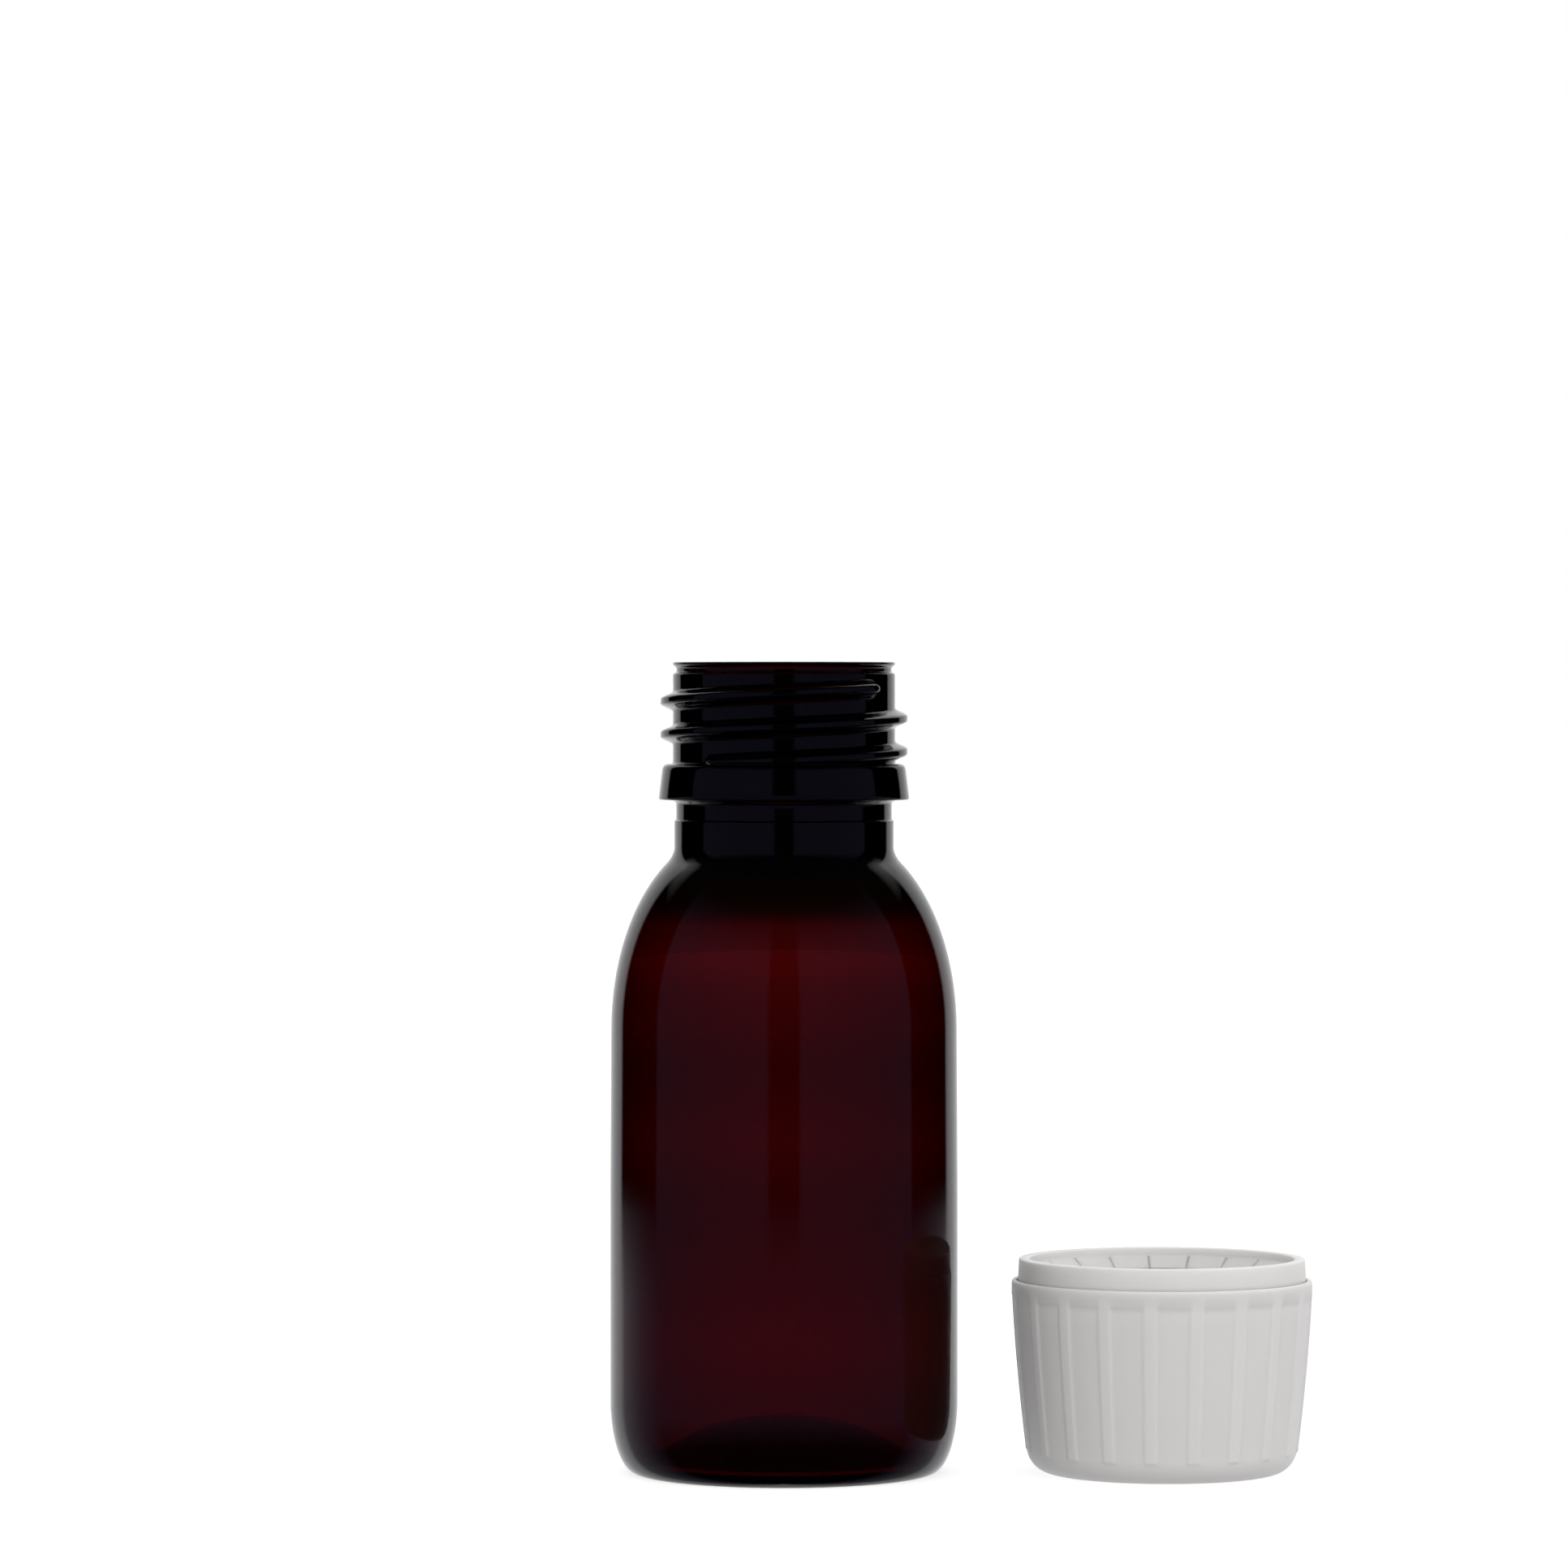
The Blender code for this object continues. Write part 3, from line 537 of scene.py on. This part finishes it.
def on_rib(r, angle, z):
    """True on the outer side within a rib's width."""
    half = RIB_SPACING_DEG / 2
    turned = (angle - RIB_PHASE_DEG + half) % RIB_SPACING_DEG - half
    outer = r > np.where(z > CORNER_RISE, side_r(z) - 1.5 * RIB_HEIGHT, corner_r - RIB_REACH)
    return (abs(turned) < RIB_HALF_WIDTH_DEG) & outer & (z > RIB_LOW_Z) & (z < RIB_TOP_Z)


print("rib points:", pick_points(shell, CLOSURE_X, on_rib))
bpy.ops.transform.shrink_fatten(value=RIB_LIFT)
bpy.ops.object.mode_set(mode="OBJECT")
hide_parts("outer_shell")
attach(shell, "outer_shell")

# %% [markdown]
# ## The inner cap
# The inner cap carries the thread that holds the bottle. It turns freely in the shell until the
# shell is pushed down and the lugs on the two crowns meet. It is turned like the shell, and its
# thread is wound inward on the bore with the same helper as the bottle's, so that the two match.

# %% Turn the inner cap
RECESS_R = LINER_R + 0.3 * MM
THREAD_ROOT_R = NECK_R + 1.55 * MM
CAP_MOUTH_R = BEAD_R + 0.2 * MM
CAP_SKIRT_R = THREAD_ROOT_R + 0.55 * MM
CAP_CROWN_R = RECESS_R + 0.75 * MM
CAP_CROWN_Z = CAP_LUG_Z + LUG_HEIGHT
CAP_FLOOR_Z = LINER_Z - 0.3 * MM
CAP_STEP_Z = SEAL_Z + 1.3 * MM
FLARE_Z = SKIRT_END_Z - 1.1 * MM
CAP_ROUND = 0.12 * MM
CAP_EDGE = 0.15 * MM
CAP_THREAD_HEIGHT = 1.15 * MM
CAP_THREAD_BASE = 1.7 * MM
CAP_THREAD_TURNS = 2.0
CAP_THREAD_LEAD = 1.9 * MM
CAP_THREAD_DEG = 120.0
CAP_THREAD_ROWS = 76
bead_low = SEAL_Z + 0.15 * MM
cap_inside = (
    softened([(0.0, CAP_FLOOR_Z), (RECESS_R, CAP_FLOOR_Z), (RECESS_R, bead_low),
              (RECESS_R - 0.35 * MM, bead_low + 0.27 * MM), (RECESS_R, bead_low + 0.55 * MM),
              (RECESS_R, CAP_STEP_Z), (THREAD_ROOT_R, CAP_STEP_Z + 0.6 * MM)], CAP_ROUND)
    + rows((THREAD_ROOT_R, CAP_STEP_Z + 0.65 * MM), (THREAD_ROOT_R, FLARE_Z), CAP_THREAD_ROWS)
    + softened([(THREAD_ROOT_R, FLARE_Z), (CAP_MOUTH_R, FLARE_Z + 0.2 * MM),
                (CAP_MOUTH_R, SKIRT_END_Z), (CAP_COLLAR_R - CAP_EDGE, SKIRT_END_Z)], EDGE_ROUND))
cap_outside = softened(
    [(CAP_COLLAR_R - CAP_EDGE, SKIRT_END_Z), (CAP_COLLAR_R, SKIRT_END_Z - CAP_EDGE),
     (CAP_COLLAR_R, SKIRT_END_Z - 0.55 * MM), (CAP_MOUTH_R + 0.55 * MM, FLARE_Z),
     (CAP_SKIRT_R, (SKIRT_END_Z + CAP_STEP_Z) / 2),
     (CAP_SKIRT_R - 0.07 * MM, CAP_STEP_Z + 0.6 * MM),
     (CAP_CROWN_R, CAP_STEP_Z), (CAP_CROWN_R, CAP_CROWN_Z + 0.3 * MM),
     (CAP_CROWN_R - 0.3 * MM, CAP_CROWN_Z), (LUG_OUTER_R, CAP_CROWN_Z), (LUG_INNER_R, CAP_CROWN_Z),
     (0.0, CAP_CROWN_Z)], CAP_ROUND)
cap = turn("cap_body", cap_inside + cap_outside[1:], CLOSURE_X, COLUMNS)
wind_thread(cap, CLOSURE_X, THREAD_ROOT_R, (CAP_STEP_Z + 0.62 * MM, FLARE_Z), -CAP_THREAD_HEIGHT,
            CAP_THREAD_BASE, THREAD_CREST, THREAD_PITCH, CAP_THREAD_TURNS,
            SKIRT_END_Z - CAP_THREAD_LEAD, CAP_THREAD_DEG)

# %% [markdown]
# The lugs stand on the flat crowns of the cap and the shell and face each other. On each crown
# the faces between two radii are picked in twelve places and extruded towards the other crown.

# %% Raise the lugs
LUG_COUNT = 12
LUG_HALF_WIDTH_DEG = 5.0
ON_CROWN = 0.01 * MM
NEARLY_LEVEL = 0.9


def pick_faces(piece, axis_x, test):
    """Select the faces of a piece whose centre passes test(radius, angle, z, normal z)."""
    pick_points(piece, axis_x, lambda r, angle, z: np.zeros(len(r), bool))
    bpy.ops.mesh.select_mode(type="FACE")
    bpy.ops.object.mode_set(mode="OBJECT")
    count = len(piece.data.polygons)
    centres, normals = np.empty(count * 3), np.empty(count * 3)
    piece.data.polygons.foreach_get("center", centres)
    piece.data.polygons.foreach_get("normal", normals)
    centres, normals = centres.reshape(-1, 3), normals.reshape(-1, 3)
    x, y = centres[:, 0] - axis_x, centres[:, 1]
    chosen = test(np.hypot(x, y), np.degrees(np.arctan2(y, x)), centres[:, 2], normals[:, 2])
    piece.data.polygons.foreach_set("select", chosen)
    bpy.ops.object.mode_set(mode="EDIT")
    return int(chosen.sum())


def lug_faces(crown_z, facing, phase):
    """A test for the faces under twelve lugs on a crown at crown_z that faces up or down."""
    def test(r, angle, z, normal_z):
        spacing = 360.0 / LUG_COUNT
        turned = (angle - phase + spacing / 2) % spacing - spacing / 2
        return ((abs(z - crown_z) < ON_CROWN) & (normal_z * facing > NEARLY_LEVEL)
                & (r > LUG_INNER_R) & (r < LUG_OUTER_R) & (abs(turned) < LUG_HALF_WIDTH_DEG))
    return test


print("cap lug faces:", pick_faces(cap, CLOSURE_X, lug_faces(CAP_CROWN_Z, -1, 180.0 / LUG_COUNT)))
bpy.ops.mesh.extrude_region_move(TRANSFORM_OT_translate={"value": (0.0, 0.0, -LUG_HEIGHT)})
bpy.ops.object.mode_set(mode="OBJECT")
print("shell lug faces:", pick_faces(shell, CLOSURE_X, lug_faces(SHELL_CROWN, 1, 0.0)))
bpy.ops.mesh.extrude_region_move(TRANSFORM_OT_translate={"value": (0.0, 0.0, LUG_HEIGHT)})
bpy.ops.object.mode_set(mode="OBJECT")
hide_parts("inner_cap")
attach(cap, "inner_cap")

# %% [markdown]
# ## The liner
# The liner is a soft foam disc in the cap, which the bottle's lip presses against to seal. The lip
# leaves a shallow ring in it. A plain cylinder would do for the disc, but a turned outline draws
# that ring and the soft rim in the same step.

# %% Turn the liner
LIP_MIDDLE_R = NECK_R - NECK_WALL / 2
DENT_DEPTH = 0.12 * MM
LINER_ROUND = 0.15 * MM
liner_outline = softened(
    [(0.0, SEAL_Z), (LIP_MIDDLE_R - 1.0 * MM, SEAL_Z),
     (LIP_MIDDLE_R - 0.6 * MM, SEAL_Z - DENT_DEPTH), (LIP_MIDDLE_R + 0.6 * MM, SEAL_Z - DENT_DEPTH),
     (LIP_MIDDLE_R + 0.9 * MM, SEAL_Z), (LINER_R, SEAL_Z), (LINER_R, LINER_Z), (0.0, LINER_Z)],
    LINER_ROUND)
liner = turn("liner_disc", liner_outline, CLOSURE_X, COLUMNS)
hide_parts("liner")
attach(liner, "inner_cap")

# %% [markdown]
# ## The tamper band
# The band is the narrower ring above the shell. Inside it a skirt of short flaps folds back
# towards the cap, so that they snap under the bottle's bead. The flaps could be modelled one by
# one, but on the real band they are one cone with slots, so the band is turned with the cone on it.

# %% Turn the band
BAND_EDGE = 0.2 * MM
BAND_COLUMNS = 240
BAND_NECK_BORE = CAP_MOUTH_R
BAND_NECK_R = BAND_NECK_BORE + 0.6 * MM
BAND_BORE = BAND_NECK_BORE + 0.6 * MM
BAND_Z = SKIRT_END_Z + 0.85 * MM
FLANGE_Z = MOUTH_Z - 0.3 * MM
FLAP_ROOT_Z = BAND_TOP_Z - 1.0 * MM
FLAP_TIP_Z = FLAP_ROOT_Z - 1.2 * MM
FLAP_TIP_R = BAND_BORE - 1.7 * MM
band_step_z = FLANGE_Z + 0.15 * MM
band_outline = softened(
    [(BAND_NECK_BORE, BAND_Z), (BAND_NECK_BORE, band_step_z), (BAND_BORE, band_step_z + 0.6 * MM),
     (BAND_BORE, FLAP_ROOT_Z - 0.45 * MM), (FLAP_TIP_R + 0.15 * MM, FLAP_TIP_Z - 0.1 * MM),
     (FLAP_TIP_R, FLAP_TIP_Z + 0.05 * MM), (BAND_BORE, FLAP_ROOT_Z + 0.15 * MM),
     (BAND_BORE, BAND_TOP_Z), (BAND_R - 0.12 * MM, BAND_TOP_Z), (BAND_R, MOUTH_Z),
     (BAND_R, FLANGE_Z), (BAND_NECK_R, FLANGE_Z), (BAND_NECK_R, BAND_Z)], BAND_EDGE, loop=True)
band = turn("band_body", band_outline, CLOSURE_X, BAND_COLUMNS, loop=True)

# %% [markdown]
# Narrow blocks cut the slots between the flaps, and small blocks add the thin bridges that break
# when the bottle is first opened. Exact Booleans leave clean edges on such small cuts.

# %% Cut the flaps and add the bridges
FLAP_COUNT = 20
FLAP_PHASE_DEG = 3.0
FLAP_SLOT = (BAND_BORE - FLAP_TIP_R + 0.2 * MM, 0.06 * MM, 1.8 * MM)
BRIDGE_COUNT = 10
BRIDGE_PHASE_DEG = 7.0
BRIDGE_SIZE = (0.4 * MM, 0.7 * MM, 0.8 * MM)


def ring_of_blocks(name, count, size, r, z, phase, tilt=0.0):
    """Blocks set round the closure's axis, each leaning by tilt degrees, joined into one."""
    blocks = []
    for i in range(count):
        deselect_all()
        turn_by = radians(phase + 360.0 * i / count)
        place = (CLOSURE_X + r * cos(turn_by), r * sin(turn_by), z)
        bpy.ops.mesh.primitive_cube_add(size=1.0, location=place,
                                        rotation=(radians(tilt), 0.0, turn_by))
        block = bpy.context.object
        block.scale = size
        bpy.ops.object.transform_apply(location=True, rotation=True, scale=True)
        blocks.append(block)
    deselect_all()
    for block in blocks:
        block.select_set(True)
    bpy.context.view_layer.objects.active = blocks[0]
    bpy.ops.object.join()
    blocks[0].name = name
    return blocks[0]


def combine(piece, tool, operation):
    """Apply an exact Boolean and remove the tool."""
    deselect_all()
    bpy.context.view_layer.objects.active = piece
    step = piece.modifiers.new(tool.name, "BOOLEAN")
    step.operation = operation
    step.object = tool
    bpy.ops.object.modifier_apply(modifier=step.name)
    bpy.data.objects.remove(tool)


slot_r = (BAND_BORE + FLAP_TIP_R - 0.4 * MM) / 2
slots = ring_of_blocks("flap_slots", FLAP_COUNT, FLAP_SLOT, slot_r,
                       (FLAP_ROOT_Z + FLAP_TIP_Z) / 2, FLAP_PHASE_DEG)
combine(band, slots, "DIFFERENCE")
bridges = ring_of_blocks("bridges", BRIDGE_COUNT, BRIDGE_SIZE, BAND_NECK_BORE + 0.3 * MM,
                         BAND_Z - 0.15 * MM, BRIDGE_PHASE_DEG)
combine(band, bridges, "UNION")
print("band:", len(band.data.polygons), "faces")
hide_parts("tamper_band")
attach(band, "tamper_band")

# %% [markdown]
# ## The spring disc
# Between the two crowns lies a washer with six slanting tongues, which keeps the lugs apart until
# somebody pushes. Its tongues are leaning blocks joined to the turned washer. They would run into
# the shell's crown when the shell closes up.

# %% Turn the spring disc and add its tongues
HUB_THICKNESS = 0.5 * MM
HUB_BORE = 5.0 * MM
HUB_ROUND = 0.1 * MM
TONGUE_COUNT = 6
TONGUE_TILT_DEG = 10.9
TONGUE_SIZE = (1.6 * MM, 4.18 * MM, 0.45 * MM)
hub_low = HUB_Z - HUB_THICKNESS
spring_outline = softened([(HUB_BORE, hub_low), (HUB_BORE, HUB_Z), (SPRING_R, HUB_Z),
                           (SPRING_R, hub_low)], HUB_ROUND, loop=True)
spring = turn("spring_washer", spring_outline, CLOSURE_X, COLUMNS, loop=True)
lean = radians(TONGUE_TILT_DEG)
tongue_rise = (TONGUE_SIZE[1] * sin(lean) + TONGUE_SIZE[2] * cos(lean)) / 2
tongues = ring_of_blocks("tongues", TONGUE_COUNT, TONGUE_SIZE, (HUB_BORE + SPRING_R) / 2,
                         TONGUE_Z + tongue_rise, 0.0, TONGUE_TILT_DEG)
combine(spring, tongues, "UNION")
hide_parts("spring_disc")
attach(spring, "spring_disc")
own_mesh(spring)

# %% [markdown]
# ## Writing finishes as sums
# Real plastic varies from place to place, so each finish mixes several patterns. That is easier
# to read as arithmetic than as a web of nodes. The small class below wraps a socket so that plus,
# times and divide add the maths nodes.

# %% Finish helpers


class Wire:
    """A shader socket that can be used in sums."""

    def __init__(self, finish, socket):
        self.finish = finish
        self.socket = socket

    def _sum(self, operation, first, second):
        return self.finish.node("ShaderNodeMath", {"operation": operation}, {0: first, 1: second})

    def __add__(self, other):
        return self._sum("ADD", self, other)

    __radd__ = __add__

    def __mul__(self, other):
        return self._sum("MULTIPLY", self, other)

    __rmul__ = __mul__

    def __truediv__(self, other):
        return self._sum("DIVIDE", self, other)


class Finish:
    """One material: its Principled shader, and a way to add nodes to it."""

    def __init__(self, name, **constants):
        self.material = bpy.data.materials.new(name)
        self.material.use_nodes = True
        self.tree = self.material.node_tree
        self.shader = self.tree.nodes["Principled BSDF"]
        self.output = self.tree.nodes["Material Output"]
        for socket, value in constants.items():
            self.shader.inputs[socket.replace("_", " ")].default_value = value

    def node(self, kind, settings=None, inputs=None, out=0):
        """Add a node, set it up, feed its sockets, and return one of its outputs."""
        made = self.tree.nodes.new(kind)
        for key, value in (settings or {}).items():
            if key == "stops":
                for i, (position, colour) in enumerate(value):
                    stop = (made.color_ramp.elements[i] if i < 2
                            else made.color_ramp.elements.new(position))
                    stop.position, stop.color = position, (*colour, 1.0)
            else:
                setattr(made, key, value)
        for key, value in (inputs or {}).items():
            self.feed(made.inputs[key], value)
        return Wire(self, made.outputs[out])

    def feed(self, socket, value):
        """Link a wire to a socket, or set the socket's own value."""
        if isinstance(value, Wire):
            self.tree.links.new(value.socket, socket)
        else:
            socket.default_value = value

    def drive(self, name, value):
        """Let a wire drive one of the shader's sockets."""
        self.feed(self.shader.inputs[name], value)

    def noise(self, scale, detail=2.0, stretch=(1.0, 1.0, 1.0)):
        """Fractal noise on the piece's own coordinates, in cycles per metre."""
        place = self.node("ShaderNodeTexCoord", out="Object")
        moved = self.node("ShaderNodeMapping", {}, {"Vector": place, "Scale": stretch})
        return self.node("ShaderNodeTexNoise", {}, {"Vector": moved, "Scale": scale,
                                                    "Detail": detail})

    def colours(self, share, first, second):
        """A colour between two others."""
        return self.node("ShaderNodeMix", {"data_type": "RGBA"},
                         {0: share, 6: (*first, 1.0), 7: (*second, 1.0)}, out=2)

    def bump(self, height, distance):
        """Turn a height into a normal and hand it to the shader."""
        self.drive("Normal", self.node("ShaderNodeBump", {},
                                       {"Height": height, "Distance": distance,
                                        "Strength": 1.0}))

    def put_on(self, *pieces):
        """Make this the only material of each piece."""
        for piece in pieces:
            piece.data.materials.clear()
            piece.data.materials.append(self.material)
        print(f"{self.material.name}: {len(self.tree.nodes)} nodes")


# %% [markdown]
# ## Amber polyester
# Clear plastic with a red-brown dye. The dye swallows light along its path, so the depth of
# colour belongs in the volume and the surface stays clear. A coloured surface would look the same
# at a thin wall and at the thick foot. Blowing leaves a faint waviness, and handling leaves very
# fine rubs that spread the highlights a little.

# %% Amber finish
WHITE = (1.0, 1.0, 1.0, 1.0)
POLYESTER_IOR = 1.57
AMBER_DYE = (0.6, 0.02, 0.04, 1.0)
AMBER_DENSITY = 8300.0
AMBER_GLOSS = 0.01
AMBER_RUBS = 0.03
WAVE_DEPTH = 0.02 * MM
amber = Finish("amber_polyester", Base_Color=WHITE, IOR=POLYESTER_IOR, Transmission_Weight=1.0)
waves = amber.noise(70.0, 1.0, stretch=(1.0, 1.0, 0.35))
rubs = amber.noise(900.0, 3.0, stretch=(1.0, 1.0, 0.15))
amber.drive("Roughness", AMBER_GLOSS + AMBER_RUBS * rubs * rubs)
amber.bump(waves, WAVE_DEPTH)
dye = amber.node("ShaderNodeVolumeAbsorption", {}, {"Color": AMBER_DYE, "Density": AMBER_DENSITY})
amber.tree.links.new(dye.socket, amber.output.inputs["Volume"])
amber.put_on(bottle)

# %% [markdown]
# ## Natural polypropylene
# The closure's plastic has no dye. It is milky: light goes in a few millimetres and comes back
# out, which softens every edge. The shader's own scattering does this without a volume, which
# would need many more samples. The mould leaves a fine satin grain, and the melt leaves faint
# cloudy streaks along the height.

# %% Closure finishes
POLYPROPYLENE_IOR = 1.49
SCATTER_SHARE = 0.8
SCATTER_DEPTH = 1.2 * MM
SATIN = 0.34
SATIN_SPREAD = 0.14
FINE_GRAIN = 0.01 * MM
SHELL_GRAIN = 0.012 * MM


def milky(name, colour, shade, grain):
    """A satin, slightly see-into plastic of two close tones."""
    made = Finish(name, IOR=POLYPROPYLENE_IOR, Subsurface_Weight=SCATTER_SHARE,
                  Subsurface_Scale=SCATTER_DEPTH)
    made.shader.inputs["Subsurface Radius"].default_value = (1.0, 1.0, 1.0)
    clouds = made.noise(160.0, 4.0, stretch=(1.0, 1.0, 0.4))
    made.drive("Base Color", made.colours(clouds, colour, shade))
    made.drive("Roughness", SATIN + SATIN_SPREAD * made.noise(1400.0, 3.0))
    made.bump(made.noise(3200.0, 3.0) + 0.6 * made.noise(700.0, 2.0), grain)
    return made


SHELL_TONES = (0.835, 0.81, 0.80), (0.87, 0.85, 0.84)
BAND_TONES = (0.80, 0.782, 0.775), (0.84, 0.825, 0.815)
CAP_TONES = (0.85, 0.85, 0.84), (0.88, 0.88, 0.87)
milky("natural_polypropylene", *SHELL_TONES, SHELL_GRAIN).put_on(shell)
milky("band_polypropylene", *BAND_TONES, FINE_GRAIN).put_on(band)
milky("cap_polypropylene", *CAP_TONES, FINE_GRAIN).put_on(cap, spring)

# %% [markdown]
# ## Foam liner
# Foamed polyethylene shows its closed cells as tiny dimples. A cell pattern drives both the height
# and the colour, and the colour is painted shade that darkens the sunken middle of each dimple.

# %% Foam finish, with painted shade in its dimples
CELLS_PER_METRE = 2600.0
CELL_DEPTH = 0.04 * MM
FOAM_DIMPLE_SHADE = (0.62, 0.62, 0.60)
FOAM_PALE = (0.80, 0.80, 0.78)
foam = Finish("liner_foam_with_painted_shade", IOR=1.45)
cells = foam.node("ShaderNodeTexVoronoi", {}, {
    "Vector": foam.node("ShaderNodeTexCoord", out="Object"), "Scale": CELLS_PER_METRE})
# painted shade: the cell pattern darkens the colour where each dimple sinks deepest
foam.drive("Base Color", foam.colours(cells, FOAM_DIMPLE_SHADE, FOAM_PALE))
foam.drive("Roughness", 0.7 + 0.2 * foam.noise(900.0))
foam.bump(cells, CELL_DEPTH)
foam.put_on(liner)

# %% [markdown]
# ## Floor
# The floor is a plain pale sheet with a faint paper grain. Part of its brightness is its own glow,
# so that it stays as even as a lit sheet and still takes a soft contact shade.

# %% Floor
FLOOR_SIZE = 8.0
FLOOR_GLOW = 0.8
FLOOR_DARK = (0.4, 0.4, 0.4)
FLOOR_PALE = (0.42, 0.42, 0.42)
deselect_all()
bpy.ops.mesh.primitive_plane_add(size=FLOOR_SIZE, location=(0.0, 0.0, 0.0))
floor = bpy.context.object
floor.name = "floor"
floor.visible_glossy = False
floor.visible_diffuse = False
paper = Finish("pale_floor", Roughness=0.9, Specular_IOR_Level=0.0)
paper.drive("Base Color", paper.colours(paper.noise(30.0), FLOOR_DARK, FLOOR_PALE))
paper.shader.inputs["Emission Color"].default_value = WHITE
paper.shader.inputs["Emission Strength"].default_value = FLOOR_GLOW
paper.put_on(floor)

# %% [markdown]
# ## Light
# The light is a white surround, like the inside of a light tent. Lamps would show as hard spots in
# the glossy bottle, so the surround itself carries every brightness. Its colours are ramps over the
# direction of a ray, and the two small helpers below name and blend them.

# %% Light helpers
BLACK = (0.0, 0.0, 0.0, 1.0)


class Sky(Finish):
    """The world's nodes, built with the same helpers as a finish."""

    def __init__(self):
        self.material = bpy.data.worlds.new("light_tent")
        bpy.context.scene.world = self.material
        self.material.use_nodes = True
        self.tree = self.material.node_tree
        self.shader = self.tree.nodes["Background"]
        self.output = self.tree.nodes["World Output"]

    def ramp(self, value, stops):
        """A ramp of colours over a value."""
        return self.node("ShaderNodeValToRGB", {"stops": stops}, {"Fac": value})


def tint(value, blue=1.0):
    """A grey that may lean to blue."""
    return (value, value, value * blue)


def blend(share, first, second):
    """Blend two of the sky's colours by a share from 0 to 1."""
    return sky.node("ShaderNodeMix", {"data_type": "RGBA"}, {0: share, 6: first, 7: second}, out=2)


print(f"a mid grey leaning to blue: {tint(0.5, 1.2)}")

# %% [markdown]
# The heading of a ray runs from 0 straight behind the object to 1 straight in front of it, and is
# the same to the left and to the right.

# %% Directions
sky = Sky()
direction = sky.node("ShaderNodeTexCoord", out="Generated")
along_x = sky.node("ShaderNodeSeparateXYZ", {}, {"Vector": direction}, out="X")
along_y = sky.node("ShaderNodeSeparateXYZ", {}, {"Vector": direction}, out="Y")
along_z = sky.node("ShaderNodeSeparateXYZ", {}, {"Vector": direction}, out="Z")
across = sky.node("ShaderNodeMath", {"operation": "ABSOLUTE"}, {0: along_x})
heading = sky.node("ShaderNodeMath", {"operation": "ARCTAN2"}, {0: across, 1: along_y}) / pi
print("light tent: ramps over the heading and the height of a ray")

# %% [markdown]
# What a glossy surface shows is bright behind the object, dark beside it, and has two wide, dim,
# bluish panels at the front, which the bottle shows as long upright bands. Below the horizon it
# sees the table, which is darker close by. Overhead the tent is bright at the back only.

# %% What the reflections show
PANEL = 0.06
FRONT_GAP = 0.008
room = sky.ramp(heading, [(0.0, tint(1.0)), (0.225, tint(0.55, 1.05)), (0.25, tint(0.0)),
                          (0.474, tint(0.0)), (0.486, tint(PANEL, 1.7)), (0.935, tint(PANEL, 1.7)),
                          (0.95, tint(FRONT_GAP, 1.5)), (1.0, tint(FRONT_GAP, 1.5))])
table = sky.ramp(heading, [(0.0, tint(1.0)), (0.236, tint(0.6, 1.05)), (0.27, tint(0.3, 1.1)),
                           (0.41, tint(0.12, 1.5)), (0.5, tint(0.06, 1.8)),
                           (1.0, tint(0.05, 1.8))])
deep = sky.ramp(heading, [(0.0, tint(1.0)), (0.236, tint(0.6, 1.05)), (0.27, tint(0.25, 1.1)),
                          (0.41, tint(0.08, 1.4)), (0.5, tint(0.005, 1.5))])
over = sky.ramp(along_y, [(0.4, tint(0.01)), (0.62, tint(1.0))])
is_table = sky.ramp(along_z + 0.5, [(0.415, tint(1.0)), (0.432, tint(0.0))])
is_deep = sky.ramp(along_z * -1.0, [(0.15, tint(0.0)), (0.4, tint(1.0))])
is_over = sky.ramp(along_z, [(0.45, tint(0.0)), (0.75, tint(1.0))])
mirror = blend(is_over, blend(is_table, room, blend(is_deep, table, deep)), over)
print(f"front panels in reflections: {PANEL} of white")

# %% [markdown]
# What lights the satin plastic comes a little more from the right and less from below, which
# rounds the closure. Rays that pass through the bottle see plain white. The closure would shine
# too strongly where the bottle mirrors it, so what lights it in a reflection is dimmed.

# %% Light on the satin plastic and behind the bottle
MIRROR_SHADE = 0.92
from_side = sky.ramp(along_x * 0.5 + 0.5, [(0.0, tint(0.42)), (0.32, tint(1.0)),
                                           (0.6, tint(1.18)), (1.0, tint(0.95))])
from_below = sky.ramp(along_z * 0.5 + 0.5, [(0.0, tint(0.3)), (0.5, tint(1.0))])
glow = sky.node("ShaderNodeMix", {"data_type": "RGBA", "blend_type": "MULTIPLY"},
                {0: 1.0, 6: from_side, 7: from_below}, out=2)
shiny = sky.node("ShaderNodeLightPath", out="Is Glossy Ray")
soft = sky.node("ShaderNodeLightPath", out="Is Diffuse Ray")
reflected = sky.node("ShaderNodeLightPath", out="Glossy Depth")
through = sky.node("ShaderNodeLightPath", out="Transmission Depth")
mirrored = sky.node("ShaderNodeMath", {"operation": "SUBTRACT", "use_clamp": True},
                    {0: reflected, 1: through})
plain = blend(mirrored * MIRROR_SHADE, blend(soft, WHITE, glow), BLACK)
sky.feed(sky.shader.inputs["Color"], blend(shiny, plain, mirror))
sky.shader.inputs["Strength"].default_value = 1.0
bpy.context.scene.view_settings.view_transform = "Standard"
print(f"{sky.material.name}: {len(sky.tree.nodes)} nodes")
